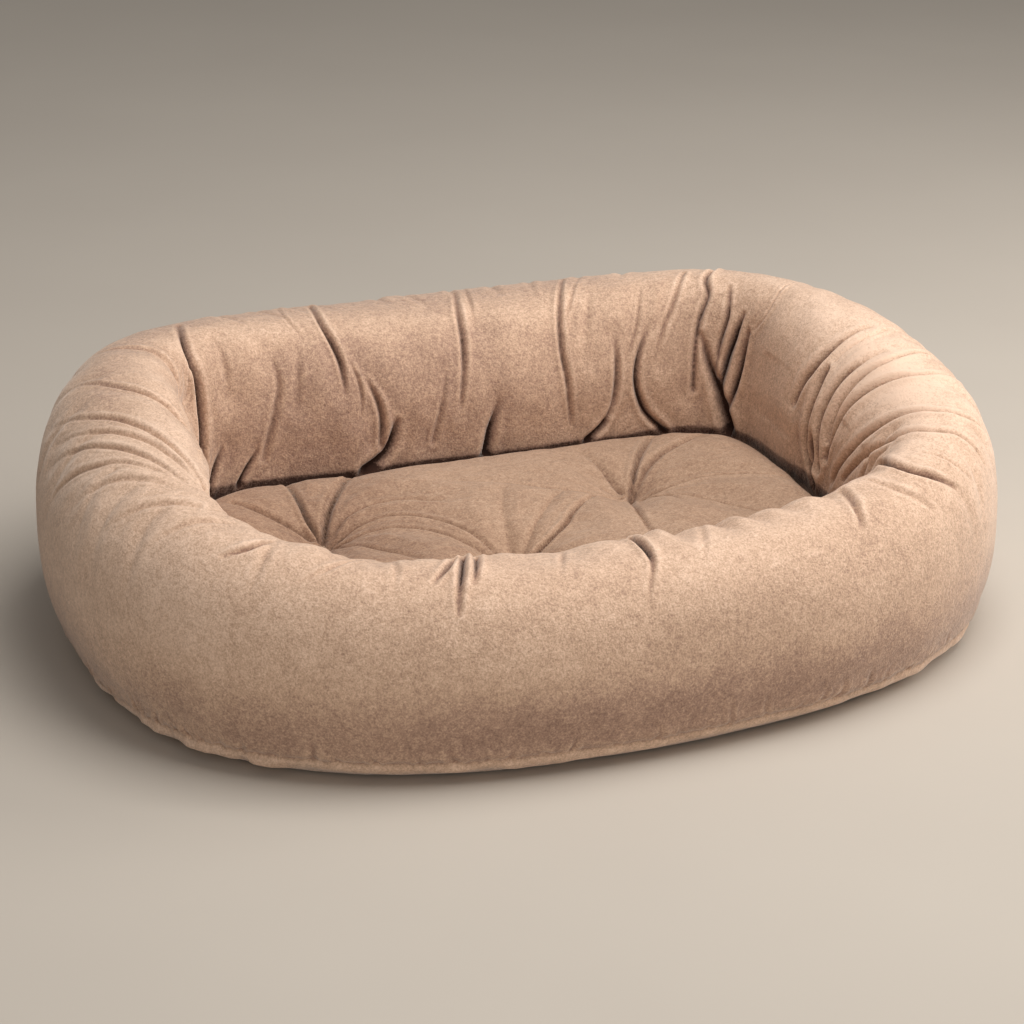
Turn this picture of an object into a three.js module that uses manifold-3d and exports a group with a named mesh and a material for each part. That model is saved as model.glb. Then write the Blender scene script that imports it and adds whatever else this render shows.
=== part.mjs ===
// Pet cushion bed: an oval ring bolster in a velvet cover, closed underneath by a flat base panel,
// with a lift-out tufted cushion in the well and a stuffing zipper low on the outside of the rear wall.
// Millimetres, +Z up, the floor at z = 0, +X along the length, -Y towards the low front wall.
// The origin is under the middle of the bed's outline.
import * as THREE from "three";
import { ParametricGeometry } from "three/addons/geometries/ParametricGeometry.js";
import { mergeVertices } from "three/addons/utils/BufferGeometryUtils.js";
import Module from "manifold-3d";

const wasm = await Module();
wasm.setup();

// ---- overall size ----
const HALF_LENGTH = 445; // outer outline, half of the length along X
const HALF_DEPTH = 358; // outer outline, half of the depth along Y
const OUTER_POWER = 2.362; // 2 is an ellipse, higher is squarer
const WELL_HALF_LENGTH = 289.3; // the narrowest line of the well
const WELL_HALF_DEPTH = 198.5;
const WELL_POWER_REAR = 5.99; // the rear corners of the well are tight
const WELL_POWER_FRONT = 4.0; // the front corners are rounder
const WELL_SHIFT_X = 12.2;
const WELL_SHIFT_Y = -13.0;
const RIM_HEIGHT = 215.5; // mean height of the ring; it dips at the front
const SECTION_POWER = 2.371; // the plump cross-section of the bolster
const OUTLINE_MIDDLE = [2.296, 2.124]; // middle of the outline's box, moved to the origin
// slow waves round the ring [cos, sin] for one, two and three turns
const OUTER_WAVE = [[0.00371, 0.00327], [0.01055, -0.00118], [0.00145, -0.00266]];
const WELL_WAVE = [[-0.00796, -0.02402], [0.00994, 0.0043], [0.00003, 0.00537]];
const HEIGHT_WAVE = [[0.00908, 0.13458], [0.06703, -0.01384], [0.00526, 0.02643]];

// ---- fabric and filling ----
const GAP = 0.4; // air between stacked pieces
const PANEL = 2.0; // base panel, fabric and backing
const COVER = 2.0; // velvet and lining
const LINER = 1.0;
const SETTLE = 6.0; // how far the filled ring sits down onto its own underside
const AROUND = 52; // facets round the ring
const ACROSS = 14; // facets round its cross-section
const BASE_REACH = 0.66; // how far out under the bolster the base panel is sewn

// ---- zipper on the rear wall, in its own plane: x along it, v up the wall, n out of the wall ----
const FLAT_COLUMNS = 3; // facets each side of the rear middle that lie in one plane
const FLAT_INSET = 11; // how far that plane sits inside the plump outline
const WINDOW_X = 145;
const WINDOW_V = 14.2;
const TAPE_X = 143.5;
const TAPE_V = [3.5, 13.8];
const TAPE_N = [-1.6, -0.6];
const CHAIN_X = 138;
const CHAIN_V = [0.8, 3.2];
const CHAIN_N = [-2.6, 0.6];
const STOP_LENGTH = 2.7;
const BOX_LENGTH = 4.6;
const SLIDER_X = -131.5; // the slider's middle when the zipper is closed
const SLIDER_LENGTH = 11;
const SLIDER_WIDTH = 9.2;
const HINGE_N = 4.3; // the pull tab's pin above the wall plane
const PIN_R = 0.7;
const EYE_R = [1.05, 1.65]; // the eye of the pull tab: bore and outside
const TAB_LENGTH = 27;
const TAB_WIDTH = 8;
const TAB_THICKNESS = 1.2;

// ---- lift-out cushion ----
const CUSHION_GAP = 3.2; // to the narrowest line of the well
const CUSHION_FLOOR = 4.4; // underside of the cushion; the ties' toggles fit under it
const SEAM_Z = 38; // the knife-edge seam of its two panels
const SHOULDER_Z = 84; // top surface near the edge
const CROWN = 13; // rise from the shoulder to the middle
const CUSHION_PANEL = 1.8;
const CUSHION_AROUND = 44;
const TUFTS = [[-184, 36], [132, 36], [-36, -78]];
const TUFT_DEPTH = 24;
const TUFT_SPREAD = 46;

// ---------------------------------------------------------------- shapes
const wave = (t, terms) =>
  terms.reduce((s, [a, b], k) => s + a * Math.cos((k + 1) * t) + b * Math.sin((k + 1) * t), 0);
const superRadius = (t, power) =>
  (Math.abs(Math.cos(t)) ** power + Math.abs(Math.sin(t)) ** power) ** (-1 / power);

function outerLine(t) {
  const r = superRadius(t, OUTER_POWER) * (1 + wave(t, OUTER_WAVE));
  return [HALF_LENGTH * r * Math.cos(t), HALF_DEPTH * r * Math.sin(t)];
}
function wellLine(t) {
  const power = Math.sin(t) > 0 ? WELL_POWER_REAR : WELL_POWER_FRONT;
  const r = superRadius(t, power) * (1 + wave(t, WELL_WAVE));
  return [
    WELL_HALF_LENGTH * r * Math.cos(t) + WELL_SHIFT_X,
    WELL_HALF_DEPTH * r * Math.sin(t) + WELL_SHIFT_Y,
  ];
}
const rimHeight = (t) => RIM_HEIGHT * (1 + wave(t, HEIGHT_WAVE));

// A point of the bolster's skin, moved inwards by inset.
function ringPoint(t, s, inset) {
  const [ox, oy] = outerLine(t),
    [ix, iy] = wellLine(t);
  const width = Math.hypot(ox - ix, oy - iy);
  const r = superRadius(s, SECTION_POWER);
  const u = 0.5 + 0.5 * r * Math.cos(s) * (1 - (2 * inset) / width);
  const h = (rimHeight(t) + SETTLE) / 2;
  const z = h - SETTLE + (h - inset) * r * Math.sin(s);
  return new THREE.Vector3(
    ix + (ox - ix) * u,
    iy + (oy - iy) * u,
    Math.max(z, PANEL + GAP + inset),
  );
}
const columnAngle = (i) => ((i % AROUND) / AROUND) * 2 * Math.PI;
const rowAngle = (j) => -Math.PI / 2 + (((j % ACROSS) + 0.5) / ACROSS) * 2 * Math.PI;

// The two rows of corners that bound the zipper's facet keep one height and depth along it.
function facetedPoint(i, j, inset) {
  const p = ringPoint(columnAngle(i), rowAngle(j), inset);
  const row = j % ACROSS;
  const middle = AROUND / 4;
  if ((row === 1 || row === 2) && Math.abs((i % AROUND) - middle) <= FLAT_COLUMNS) {
    const q = ringPoint(Math.PI / 2, rowAngle(row), inset);
    p.y = q.y - FLAT_INSET;
    p.z = q.z;
  }
  return p;
}

// ---------------------------------------------------------------- solids
function toSolid(geometry) {
  const g = geometry.clone();
  g.deleteAttribute("normal");
  g.deleteAttribute("uv");
  const merged = mergeVertices(g, 1e-4);
  const index = merged.index.array;
  const kept = [];
  for (let i = 0; i < index.length; i += 3) {
    const [a, b, c] = [index[i], index[i + 1], index[i + 2]];
    if (a !== b && b !== c && c !== a) kept.push(a, b, c);
  }
  const build = (tri) =>
    new wasm.Manifold(
      new wasm.Mesh({
        numProp: 3,
        vertProperties: new Float32Array(merged.attributes.position.array),
        triVerts: new Uint32Array(tri),
      }),
    );
  const solid = build(kept);
  if (solid.volume() > 0) return solid;
  for (let i = 0; i < kept.length; i += 3) [kept[i + 1], kept[i + 2]] = [kept[i + 2], kept[i + 1]];
  return build(kept);
}
function toGeometry(solid) {
  const m = solid.getMesh(),
    n = m.numProp,
    v = new Float32Array(m.numVert * 3);
  for (let i = 0; i < m.numVert; i++) v.set(m.vertProperties.subarray(i * n, i * n + 3), i * 3);
  const g = new THREE.BufferGeometry();
  g.setAttribute("position", new THREE.BufferAttribute(v, 3));
  g.setIndex(new THREE.BufferAttribute(new Uint32Array(m.triVerts), 1));
  g.computeVertexNormals();
  return g;
}
const cloth = (color) => new THREE.MeshStandardMaterial({ color, roughness: 0.95, metalness: 0 });

const bed = new THREE.Group();
function addPiece(group, name, geometry, material) {
  const mesh = new THREE.Mesh(geometry, material);
  mesh.name = name;
  group.add(mesh);
  return mesh;
}

// Closed tube of the bolster, moved inwards by inset.
const ring = (inset) =>
  toSolid(
    new ParametricGeometry(
      (a, b, target) =>
        target.copy(facetedPoint(Math.round(a * AROUND), Math.round(b * ACROSS), inset)),
      AROUND,
      ACROSS,
    ),
  );

// Frame of the zipper's facet.
const low = facetedPoint(AROUND / 4, 1, 0),
  high = facetedPoint(AROUND / 4, 2, 0);
const upWall = high.clone().sub(low).setX(0).normalize();
const outWall = new THREE.Vector3(0, upWall.z, -upWall.y);
const facetMiddle = low.clone().add(high).multiplyScalar(0.5).setX(0);
const zipFrame = new THREE.Matrix4()
  .makeBasis(new THREE.Vector3(-1, 0, 0), upWall, outWall)
  .setPosition(facetMiddle);

// Box between two corners given in the zipper's frame.
function zipBox(x0, x1, v0, v1, n0, n1, inFrame = true) {
  const g = new THREE.BoxGeometry(x1 - x0, v1 - v0, n1 - n0);
  g.translate((x0 + x1) / 2, (v0 + v1) / 2, (n0 + n1) / 2);
  return inFrame ? g : g.applyMatrix4(zipFrame);
}

// ---------------------------------------------------------------- bolster
const windowCut = toSolid(zipBox(-WINDOW_X, WINDOW_X, -WINDOW_V, WINDOW_V, -6, 12, false));
const pocketCut = toSolid(
  zipBox(-WINDOW_X - 2.5, WINDOW_X + 2.5, -WINDOW_V - 2.3, WINDOW_V + 2.3, -7, 12, false),
);
const cover = ring(0).subtract(ring(COVER)).subtract(windowCut);
const liner = ring(COVER + GAP).subtract(ring(COVER + GAP + LINER)).subtract(pocketCut);
const fill = ring(COVER + GAP + LINER + GAP).subtract(pocketCut);
addPiece(bed, "bolster_cover", toGeometry(cover), cloth(0xb08c73));
addPiece(bed, "bolster_liner", toGeometry(liner), cloth(0xe9e4da));
addPiece(bed, "bolster_fill", toGeometry(fill), cloth(0xf2efe8));

// Base panel: one flat sheet under the ring and the well.
const baseOutline = new THREE.Shape(
  Array.from({ length: AROUND }, (_, i) => {
    const t = columnAngle(i);
    const [ox, oy] = outerLine(t),
      [ix, iy] = wellLine(t);
    return new THREE.Vector2(ix + (ox - ix) * BASE_REACH, iy + (oy - iy) * BASE_REACH);
  }),
);
addPiece(
  bed,
  "base_panel",
  new THREE.ExtrudeGeometry(baseOutline, { depth: PANEL, bevelEnabled: false }),
  cloth(0x7a6455),
);

// Care label: a blank tab that stands out of the bottom seam at the rear.
{
  const seam = new THREE.BoxGeometry(30, 34, 0.8);
  seam.translate(-200, 305, PANEL + GAP + 0.6);
  addPiece(bed, "care_label", seam, cloth(0xefece6));
}

// ---------------------------------------------------------------- zipper
const zip = new THREE.Group();
zip.applyMatrix4(zipFrame);
bed.add(zip);
const zipTape = cloth(0x9a7a64);
const zipPlastic = new THREE.MeshStandardMaterial({ color: 0x8a6c58, roughness: 0.45, metalness: 0 });
const zipMetal = new THREE.MeshStandardMaterial({ color: 0x9b9082, roughness: 0.35, metalness: 1 });
addPiece(zip, "zip_tape_upper", zipBox(-TAPE_X, TAPE_X, TAPE_V[0], TAPE_V[1], ...TAPE_N), zipTape);
addPiece(zip, "zip_tape_lower", zipBox(-TAPE_X, TAPE_X, -TAPE_V[1], -TAPE_V[0], ...TAPE_N), zipTape);
addPiece(zip, "zip_coil_upper", zipBox(-CHAIN_X, CHAIN_X, CHAIN_V[0], CHAIN_V[1], ...CHAIN_N), zipPlastic);
addPiece(zip, "zip_coil_lower", zipBox(-CHAIN_X, CHAIN_X, -CHAIN_V[1], -CHAIN_V[0], ...CHAIN_N), zipPlastic);
addPiece(
  zip,
  "zip_top_stop_upper",
  zipBox(-CHAIN_X - 0.3 - STOP_LENGTH, -CHAIN_X - 0.3, CHAIN_V[0], CHAIN_V[1], -2.4, 0.9),
  zipMetal,
);
addPiece(
  zip,
  "zip_top_stop_lower",
  zipBox(-CHAIN_X - 0.3 - STOP_LENGTH, -CHAIN_X - 0.3, -CHAIN_V[1], -CHAIN_V[0], -2.4, 0.9),
  zipMetal,
);
addPiece(
  zip,
  "zip_bottom_stop",
  zipBox(CHAIN_X + 0.3, CHAIN_X + 0.3 + BOX_LENGTH, -3.2, 3.2, -2.6, 1.2),
  zipMetal,
);

// A flat plate with round corners, between two heights.
function roundedPlate(length, width, radius, n0, n1) {
  const a = length / 2,
    b = width / 2;
  const s = new THREE.Shape();
  s.moveTo(-a + radius, -b);
  s.lineTo(a - radius, -b);
  s.absarc(a - radius, -b + radius, radius, -Math.PI / 2, 0, false);
  s.lineTo(a, b - radius);
  s.absarc(a - radius, b - radius, radius, 0, Math.PI / 2, false);
  s.lineTo(-a + radius, b);
  s.absarc(-a + radius, b - radius, radius, Math.PI / 2, Math.PI, false);
  s.lineTo(-a, -b + radius);
  s.absarc(-a + radius, -b + radius, radius, Math.PI, 1.5 * Math.PI, false);
  const g = new THREE.ExtrudeGeometry(s, { depth: n1 - n0, bevelEnabled: false, curveSegments: 4 });
  g.translate(0, 0, n0);
  return g;
}
// A round bar along the v direction.
function crossBar(radius, v0, v1, n, sides = 16) {
  const g = new THREE.CylinderGeometry(radius, radius, v1 - v0, sides);
  g.translate(0, (v0 + v1) / 2, n);
  return g;
}

// Slider: two plates joined by a post that runs between the two coils, flanges that hold the tapes,
// and two ears with the pin of the pull tab.
{
  const a = SLIDER_LENGTH / 2,
    b = SLIDER_WIDTH / 2;
  const top = roundedPlate(SLIDER_LENGTH, SLIDER_WIDTH, 2.6, 0.95, 2.25);
  let slider = toSolid(top)
    .add(toSolid(roundedPlate(SLIDER_LENGTH, SLIDER_WIDTH, 2.6, -4.2, -3.0)))
    .add(toSolid(zipBox(-3.2, 3.2, -0.42, 0.42, -3.6, 1.6)));
  for (const side of [-1, 1]) {
    const v = side < 0 ? [-b, -b + 1] : [b - 1, b];
    slider = slider
      .add(toSolid(zipBox(-a + 2.6, a - 2.6, ...v, -0.25, 1.6)))
      .add(toSolid(zipBox(-a + 2.6, a - 2.6, ...v, -3.6, -1.95)));
    const ear = side < 0 ? [-3.1, -2.2] : [2.2, 3.1];
    slider = slider
      .add(toSolid(zipBox(-1.7, 1.7, ...ear, 1.6, HINGE_N)))
      .add(toSolid(crossBar(1.7, ...ear, HINGE_N)));
  }
  slider = slider.add(toSolid(crossBar(PIN_R, -2.6, 2.6, HINGE_N)));
  const mesh = addPiece(zip, "zip_slider", toGeometry(slider), zipMetal);
  mesh.position.x = SLIDER_X;
}
// Pull tab: an eye round the pin and a long plate that lies along the zipper.
{
  const t = TAB_THICKNESS / 2;
  const plate = new THREE.Shape();
  plate.moveTo(1.2, -1.7);
  plate.lineTo(3.2, -1.7);
  plate.lineTo(6.5, -TAB_WIDTH / 2);
  plate.lineTo(TAB_LENGTH - 3, -TAB_WIDTH / 2);
  plate.absarc(TAB_LENGTH - 3, -TAB_WIDTH / 2 + 3, 3, -Math.PI / 2, 0, false);
  plate.lineTo(TAB_LENGTH, TAB_WIDTH / 2 - 3);
  plate.absarc(TAB_LENGTH - 3, TAB_WIDTH / 2 - 3, 3, 0, Math.PI / 2, false);
  plate.lineTo(6.5, TAB_WIDTH / 2);
  plate.lineTo(3.2, 1.7);
  plate.lineTo(1.2, 1.7);
  const slot = new THREE.Path();
  slot.absarc(TAB_LENGTH - 7, 0, 1.6, 0, 2 * Math.PI, true);
  plate.holes.push(slot);
  const flat = new THREE.ExtrudeGeometry(plate, {
    depth: TAB_THICKNESS,
    bevelEnabled: false,
    curveSegments: 6,
  });
  flat.translate(0, 0, HINGE_N - t);
  const tab = toSolid(flat)
    .add(toSolid(crossBar(EYE_R[1], -1.7, 1.7, HINGE_N)))
    .subtract(toSolid(crossBar(EYE_R[0], -3, 3, HINGE_N)));
  const mesh = addPiece(zip, "zip_pull_tab", toGeometry(tab), zipMetal);
  mesh.position.x = SLIDER_X;
}

// ---------------------------------------------------------------- lift-out cushion
const cushion = new THREE.Group();
bed.add(cushion);

// Rise of the cushion's top over its shoulder, with a dimple at every tie.
function topRise(x, y, rho) {
  let z = CROWN * (1 - rho ** 2.4);
  for (const [tx, ty] of TUFTS)
    z -= TUFT_DEPTH * Math.exp(-((x - tx) ** 2 + (y - ty) ** 2) / TUFT_SPREAD ** 2);
  return z;
}
// Profile rows: share of the outline and height; the first rows are the crowned top.
const TOP_ROWS = [
  [0, SHOULDER_Z, 1],
  [0.17, SHOULDER_Z, 1],
  [0.34, SHOULDER_Z, 1],
  [0.51, SHOULDER_Z, 1],
  [0.67, SHOULDER_Z, 1],
  [0.81, SHOULDER_Z, 1],
  [0.91, SHOULDER_Z - 1, 1],
  [0.97, SHOULDER_Z - 9, 0.3],
  [1, SHOULDER_Z - 25, 0],
  [1, SEAM_Z + 0.2, 0],
];
const BOTTOM_ROWS = [
  [1, SEAM_Z - 0.2, 0],
  [0.99, 18, 0],
  [0.955, CUSHION_FLOOR, 0],
  [0, CUSHION_FLOOR, 0],
];
function cushionPoint(i, [rho, z, rise], inset, liftSign) {
  const t = ((i % CUSHION_AROUND) / CUSHION_AROUND) * 2 * Math.PI;
  const [wx, wy] = wellLine(t);
  const dx = wx - WELL_SHIFT_X,
    dy = wy - WELL_SHIFT_Y;
  const full = Math.hypot(dx, dy) - CUSHION_GAP;
  const share = rho >= 0.9 ? (rho * full - inset) / full : rho;
  const k = (full / Math.hypot(dx, dy)) * share;
  const x = WELL_SHIFT_X + dx * k,
    y = WELL_SHIFT_Y + dy * k;
  const flat = liftSign < 0 ? Math.abs(z - SEAM_Z) > 22 : z < 10;
  return new THREE.Vector3(x, y, z + rise * topRise(x, y, rho) + (flat ? liftSign * inset : 0));
}
// Closed surface through a list of rows, turned round the cushion's middle.
const lathe = (rows) =>
  new ParametricGeometry(
    (a, b, target) => {
      const [row, inset, sign] = rows[Math.round(b * (rows.length - 1))];
      target.copy(cushionPoint(Math.round(a * CUSHION_AROUND), row, inset, sign));
    },
    CUSHION_AROUND,
    rows.length - 1,
  );
const insetRows = (rows, inset, sign) => rows.map((r) => [r, inset, sign]);
const CAP = 5; // the inner form runs past the seam, so the panel is left open there
const topForm = lathe([...insetRows(TOP_ROWS, 0, -1), [[0, SEAM_Z + 0.2, 0], 0, 1]]);
const topHollow = lathe([
  ...insetRows(TOP_ROWS, CUSHION_PANEL, -1),
  [[1, SEAM_Z - CAP, 0], CUSHION_PANEL, 1],
  [[0, SEAM_Z - CAP, 0], 0, 1],
]);
const bottomForm = lathe([[[0, SEAM_Z - 0.2, 0], 0, 1], ...insetRows(BOTTOM_ROWS, 0, 1)]);
const bottomHollow = lathe([
  [[0, SEAM_Z + CAP, 0], 0, 1],
  [[1, SEAM_Z + CAP, 0], CUSHION_PANEL, 1],
  ...insetRows(BOTTOM_ROWS, CUSHION_PANEL, 1),
]);
const fillForm = lathe([
  ...insetRows(TOP_ROWS, CUSHION_PANEL + GAP, -1),
  ...insetRows(BOTTOM_ROWS, CUSHION_PANEL + GAP, 1),
]);

// Height of the top panel's facets above a point.
function heightAbove(x, y) {
  const p = topForm.attributes.position,
    ix = topForm.index.array;
  let best = -Infinity;
  for (let k = 0; k < ix.length; k += 3) {
    const [a, b, c] = [ix[k], ix[k + 1], ix[k + 2]];
    const [ax, ay, bx, by, cx, cy] = [p.getX(a), p.getY(a), p.getX(b), p.getY(b), p.getX(c), p.getY(c)];
    const d = (by - cy) * (ax - cx) + (cx - bx) * (ay - cy);
    if (Math.abs(d) < 1e-6) continue;
    const l0 = ((by - cy) * (x - cx) + (cx - bx) * (y - cy)) / d,
      l1 = ((cy - ay) * (x - cx) + (ax - cx) * (y - cy)) / d;
    if (l0 < -1e-6 || l1 < -1e-6 || l0 + l1 > 1 + 1e-6) continue;
    best = Math.max(best, l0 * p.getZ(a) + l1 * p.getZ(b) + (1 - l0 - l1) * p.getZ(c));
  }
  return best;
}

const upright = (r, z0, z1, x, y, sides = 12) => {
  const g = new THREE.CylinderGeometry(r, r, z1 - z0, sides);
  g.rotateX(Math.PI / 2);
  g.translate(x, y, (z0 + z1) / 2);
  return g;
};
let topPanel = toSolid(topForm).subtract(toSolid(topHollow)),
  bottomPanel = toSolid(bottomForm).subtract(toSolid(bottomHollow)),
  cushionFill = toSolid(fillForm);
TUFTS.forEach(([x, y], k) => {
  const hole = toSolid(upright(1.9, -5, 130, x, y));
  topPanel = topPanel.subtract(hole);
  bottomPanel = bottomPanel.subtract(hole);
  cushionFill = cushionFill.subtract(hole);
  let knot = -Infinity;
  for (let a = 0; a < 8; a++)
    knot = Math.max(
      knot,
      heightAbove(x + 3 * Math.cos((a * Math.PI) / 4), y + 3 * Math.sin((a * Math.PI) / 4)),
    );
  // thread bundle, a knot in the dimple and a toggle under the cushion
  const tie = toSolid(upright(1.5, 3.2, knot + 1, x, y))
    .add(toSolid(upright(2.8, knot + 0.4, knot + 2.2, x, y)))
    .add(toSolid(upright(5, CUSHION_FLOOR - 1.6, CUSHION_FLOOR - 0.4, x, y, 20)));
  addPiece(cushion, "tuft_tie_" + (k + 1), toGeometry(tie), cloth(0x8f7260));
});
addPiece(cushion, "cushion_top_panel", toGeometry(topPanel), cloth(0xa98369));
addPiece(cushion, "cushion_bottom_panel", toGeometry(bottomPanel), cloth(0x8d7160));
addPiece(cushion, "cushion_fill", toGeometry(cushionFill), cloth(0xf2efe8));

bed.position.set(-OUTLINE_MIDDLE[0], -OUTLINE_MIDDLE[1], 0);
export default bed;
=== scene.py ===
"""Looks of the pet cushion bed: a stuffed plush ring with a tufted lift-out cushion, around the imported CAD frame."""

import math

import bpy
import numpy as np
from mathutils import Matrix, Vector


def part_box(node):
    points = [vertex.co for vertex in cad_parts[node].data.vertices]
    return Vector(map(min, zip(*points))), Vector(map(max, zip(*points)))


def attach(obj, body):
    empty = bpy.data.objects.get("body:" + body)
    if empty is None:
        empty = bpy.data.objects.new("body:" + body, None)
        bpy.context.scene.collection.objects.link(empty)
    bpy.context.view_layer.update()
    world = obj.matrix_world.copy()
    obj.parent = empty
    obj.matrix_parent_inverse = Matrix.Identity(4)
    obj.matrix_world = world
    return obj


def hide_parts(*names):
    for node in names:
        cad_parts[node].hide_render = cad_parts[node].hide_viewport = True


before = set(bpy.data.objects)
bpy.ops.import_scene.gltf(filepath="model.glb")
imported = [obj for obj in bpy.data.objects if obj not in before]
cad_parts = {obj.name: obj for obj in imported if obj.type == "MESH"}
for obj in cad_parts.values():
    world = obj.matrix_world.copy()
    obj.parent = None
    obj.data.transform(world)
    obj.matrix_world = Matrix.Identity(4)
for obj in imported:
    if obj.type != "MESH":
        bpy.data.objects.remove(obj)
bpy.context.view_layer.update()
rng = np.random.RandomState(20411)

# ---------------------------------------------------------------- the ring's own lines, as in the CAD source (mm)
HALF_LENGTH, HALF_DEPTH, OUTER_POWER = 445.0, 358.0, 2.362
WELL_HALF_LENGTH, WELL_HALF_DEPTH = 289.3, 198.5
WELL_POWER_REAR, WELL_POWER_FRONT = 5.99, 4.0
WELL_SHIFT = (12.2, -13.0)
RIM_HEIGHT, SECTION_POWER, SETTLE = 215.5, 2.371, 6.0
MIDDLE = (2.296, 2.124)
OUTER_WAVE = [(0.00371, 0.00327), (0.01055, -0.00118), (0.00145, -0.00266)]
WELL_WAVE = [(-0.00796, -0.02402), (0.00994, 0.0043), (0.00003, 0.00537)]
HEIGHT_WAVE = [(0.00908, 0.13458), (0.06703, -0.01384), (0.00526, 0.02643)]


def wave(t, terms):
    return sum(
        a * np.cos((k + 1) * t) + b * np.sin((k + 1) * t)
        for k, (a, b) in enumerate(terms)
    )


def super_radius(t, power):
    return (np.abs(np.cos(t)) ** power + np.abs(np.sin(t)) ** power) ** (-1 / power)


def outer_line(t):
    r = super_radius(t, OUTER_POWER) * (1 + wave(t, OUTER_WAVE))
    return HALF_LENGTH * r * np.cos(t), HALF_DEPTH * r * np.sin(t)


def well_line(t):
    power = np.where(np.sin(t) > 0, WELL_POWER_REAR, WELL_POWER_FRONT)
    r = super_radius(t, power) * (1 + wave(t, WELL_WAVE))
    return (
        WELL_HALF_LENGTH * r * np.cos(t) + WELL_SHIFT[0],
        WELL_HALF_DEPTH * r * np.sin(t) + WELL_SHIFT[1],
    )


def bell(x, width):
    return np.exp(-((x / width) ** 2))


def turn(t, middle):
    """Degrees from one place round the bed, -180 to 180."""
    return (np.degrees(t) - middle + 180) % 360 - 180


def drawn_back(t, s):
    """How far (mm) the well's corners are drawn outwards, over what the plain section gives."""
    s = (np.degrees(s) + 180) % 360 - 180
    s = np.where(s < -90, s + 360, s)
    down = np.clip((s - 130) / 10, -1, 3.5)
    front_left = (29.0 - 3.0 * np.clip(down, 0, 3)) * bell(turn(t, 199.0 - 5.5 * down), 10.5 + 3.2 * np.clip(down, 0, 3)) * smooth_step((s - 100) / 40) * smooth_step((238 - s) / 30)
    rear_left = 17.0 * bell(turn(t, 145.0), 14.0) * smooth_step((s - 122) / 35) * smooth_step((232 - s) / 34)
    right = (3.5 * bell(turn(t, 12.0), 20.0) + 1.5 * bell(turn(t, 90.0), 42.0)) * smooth_step((s - 165) / 15) * smooth_step((232 - s) / 34)
    rear_right = 21.0 * bell(turn(t, 31.0), 12.0) * smooth_step((s - 126) / 38) * smooth_step((232 - s) / 34)
    return front_left, rear_left, right, rear_right


def edge_up(t):
    """How far (mm) the cushion's edge stands above its plain height, against the rear wall and in the corners."""
    return 2.0 * bell(turn(t, 126.0), 12.0) + 14.0 * bell(turn(t, 153.0), 18.0) + 2.5 * bell(turn(t, 42.0), 10.0) - bell(turn(t, 70.0), 22.0) + 7.5 * bell(turn(t, 6.0), 24.0)


def smooth_step(x):
    x = np.clip(x, 0, 1)
    return x * x * (3 - 2 * x)


def ring_raw(t, s, inset=0.0):
    """A point of the ring, in mm: t runs round the bed, s round the tube (0 outside, 90 on top, 180 inside)."""
    ox, oy = outer_line(t)
    ix, iy = well_line(t)
    width = np.hypot(ox - ix, oy - iy)
    r = super_radius(s, SECTION_POWER)
    u = 0.5 + 0.5 * r * np.cos(s) * (1 - 2 * inset / width)
    h = (RIM_HEIGHT * (1 + wave(t, HEIGHT_WAVE)) + SETTLE) / 2
    z = h - SETTLE + (h - inset) * r * np.sin(s)
    front_left, rear_left, right, rear_right = drawn_back(t, s)
    out = np.stack([np.cos(t), np.sin(t)], -1)
    back_x = -front_left - 0.5 * rear_left + right * out[..., 0] + 0.4 * rear_right
    back_y = -0.12 * front_left + 0.87 * rear_left + right * out[..., 1] + 0.9 * rear_right
    return np.stack(
        [
            ix + (ox - ix) * u - MIDDLE[0] + back_x,
            iy + (oy - iy) * u - MIDDLE[1] + back_y,
            np.maximum(z, 2.4 + inset),
        ],
        -1,
    )


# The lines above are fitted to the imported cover, so the looks follow the frame if its size changes.
_t, _s = np.meshgrid(
    np.linspace(0, 2 * math.pi, 361), np.linspace(-math.pi, math.pi, 181), indexing="ij"
)
_raw = ring_raw(_t, _s).reshape(-1, 3)
cover_low, cover_high = (np.array(v) * 1000 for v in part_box("bolster_cover"))
_scale = (cover_high - cover_low) / (_raw.max(0) - _raw.min(0))
_offset = cover_low - _raw.min(0) * _scale


def ring_point(t, s, inset=0.0):
    return ring_raw(t, s, inset) * _scale + _offset


# ---------------------------------------------------------------- small helpers
def lattice_noise(u, v, seed, cells_u, cells_v):
    """Smooth noise from -1 to 1, which repeats after cells_u along u and cells_v along v."""
    g = np.random.RandomState(seed).uniform(-1, 1, (cells_u, cells_v))
    iu, iv = np.floor(u).astype(int), np.floor(v).astype(int)
    fu, fv = u - iu, v - iv
    fu, fv = fu * fu * fu * (fu * (fu * 6 - 15) + 10), fv * fv * fv * (fv * (fv * 6 - 15) + 10)
    a = g[iu % cells_u, iv % cells_v]
    b = g[(iu + 1) % cells_u, iv % cells_v]
    c = g[iu % cells_u, (iv + 1) % cells_v]
    d = g[(iu + 1) % cells_u, (iv + 1) % cells_v]
    return a + (b - a) * fu + (c - a) * fv + (a - b - c + d) * fu * fv


def unit(v):
    return v / (np.linalg.norm(v, axis=-1, keepdims=True) + 1e-12)


def blur(field, wrap_u=True, wrap_v=True, times=1):
    for _ in range(times):
        for axis, wrap in ((0, wrap_u), (1, wrap_v)):
            if wrap:
                field = (
                    0.5 * field
                    + 0.25 * np.roll(field, 1, axis)
                    + 0.25 * np.roll(field, -1, axis)
                )
            else:
                pad = [(0, 0)] * field.ndim
                pad[axis] = (1, 1)
                f = np.pad(field, pad, mode="edge")
                n = field.shape[axis]
                field = (
                    0.5 * field
                    + 0.25 * np.take(f, range(0, n), axis)
                    + 0.25 * np.take(f, range(2, n + 2), axis)
                )
    return field


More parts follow.
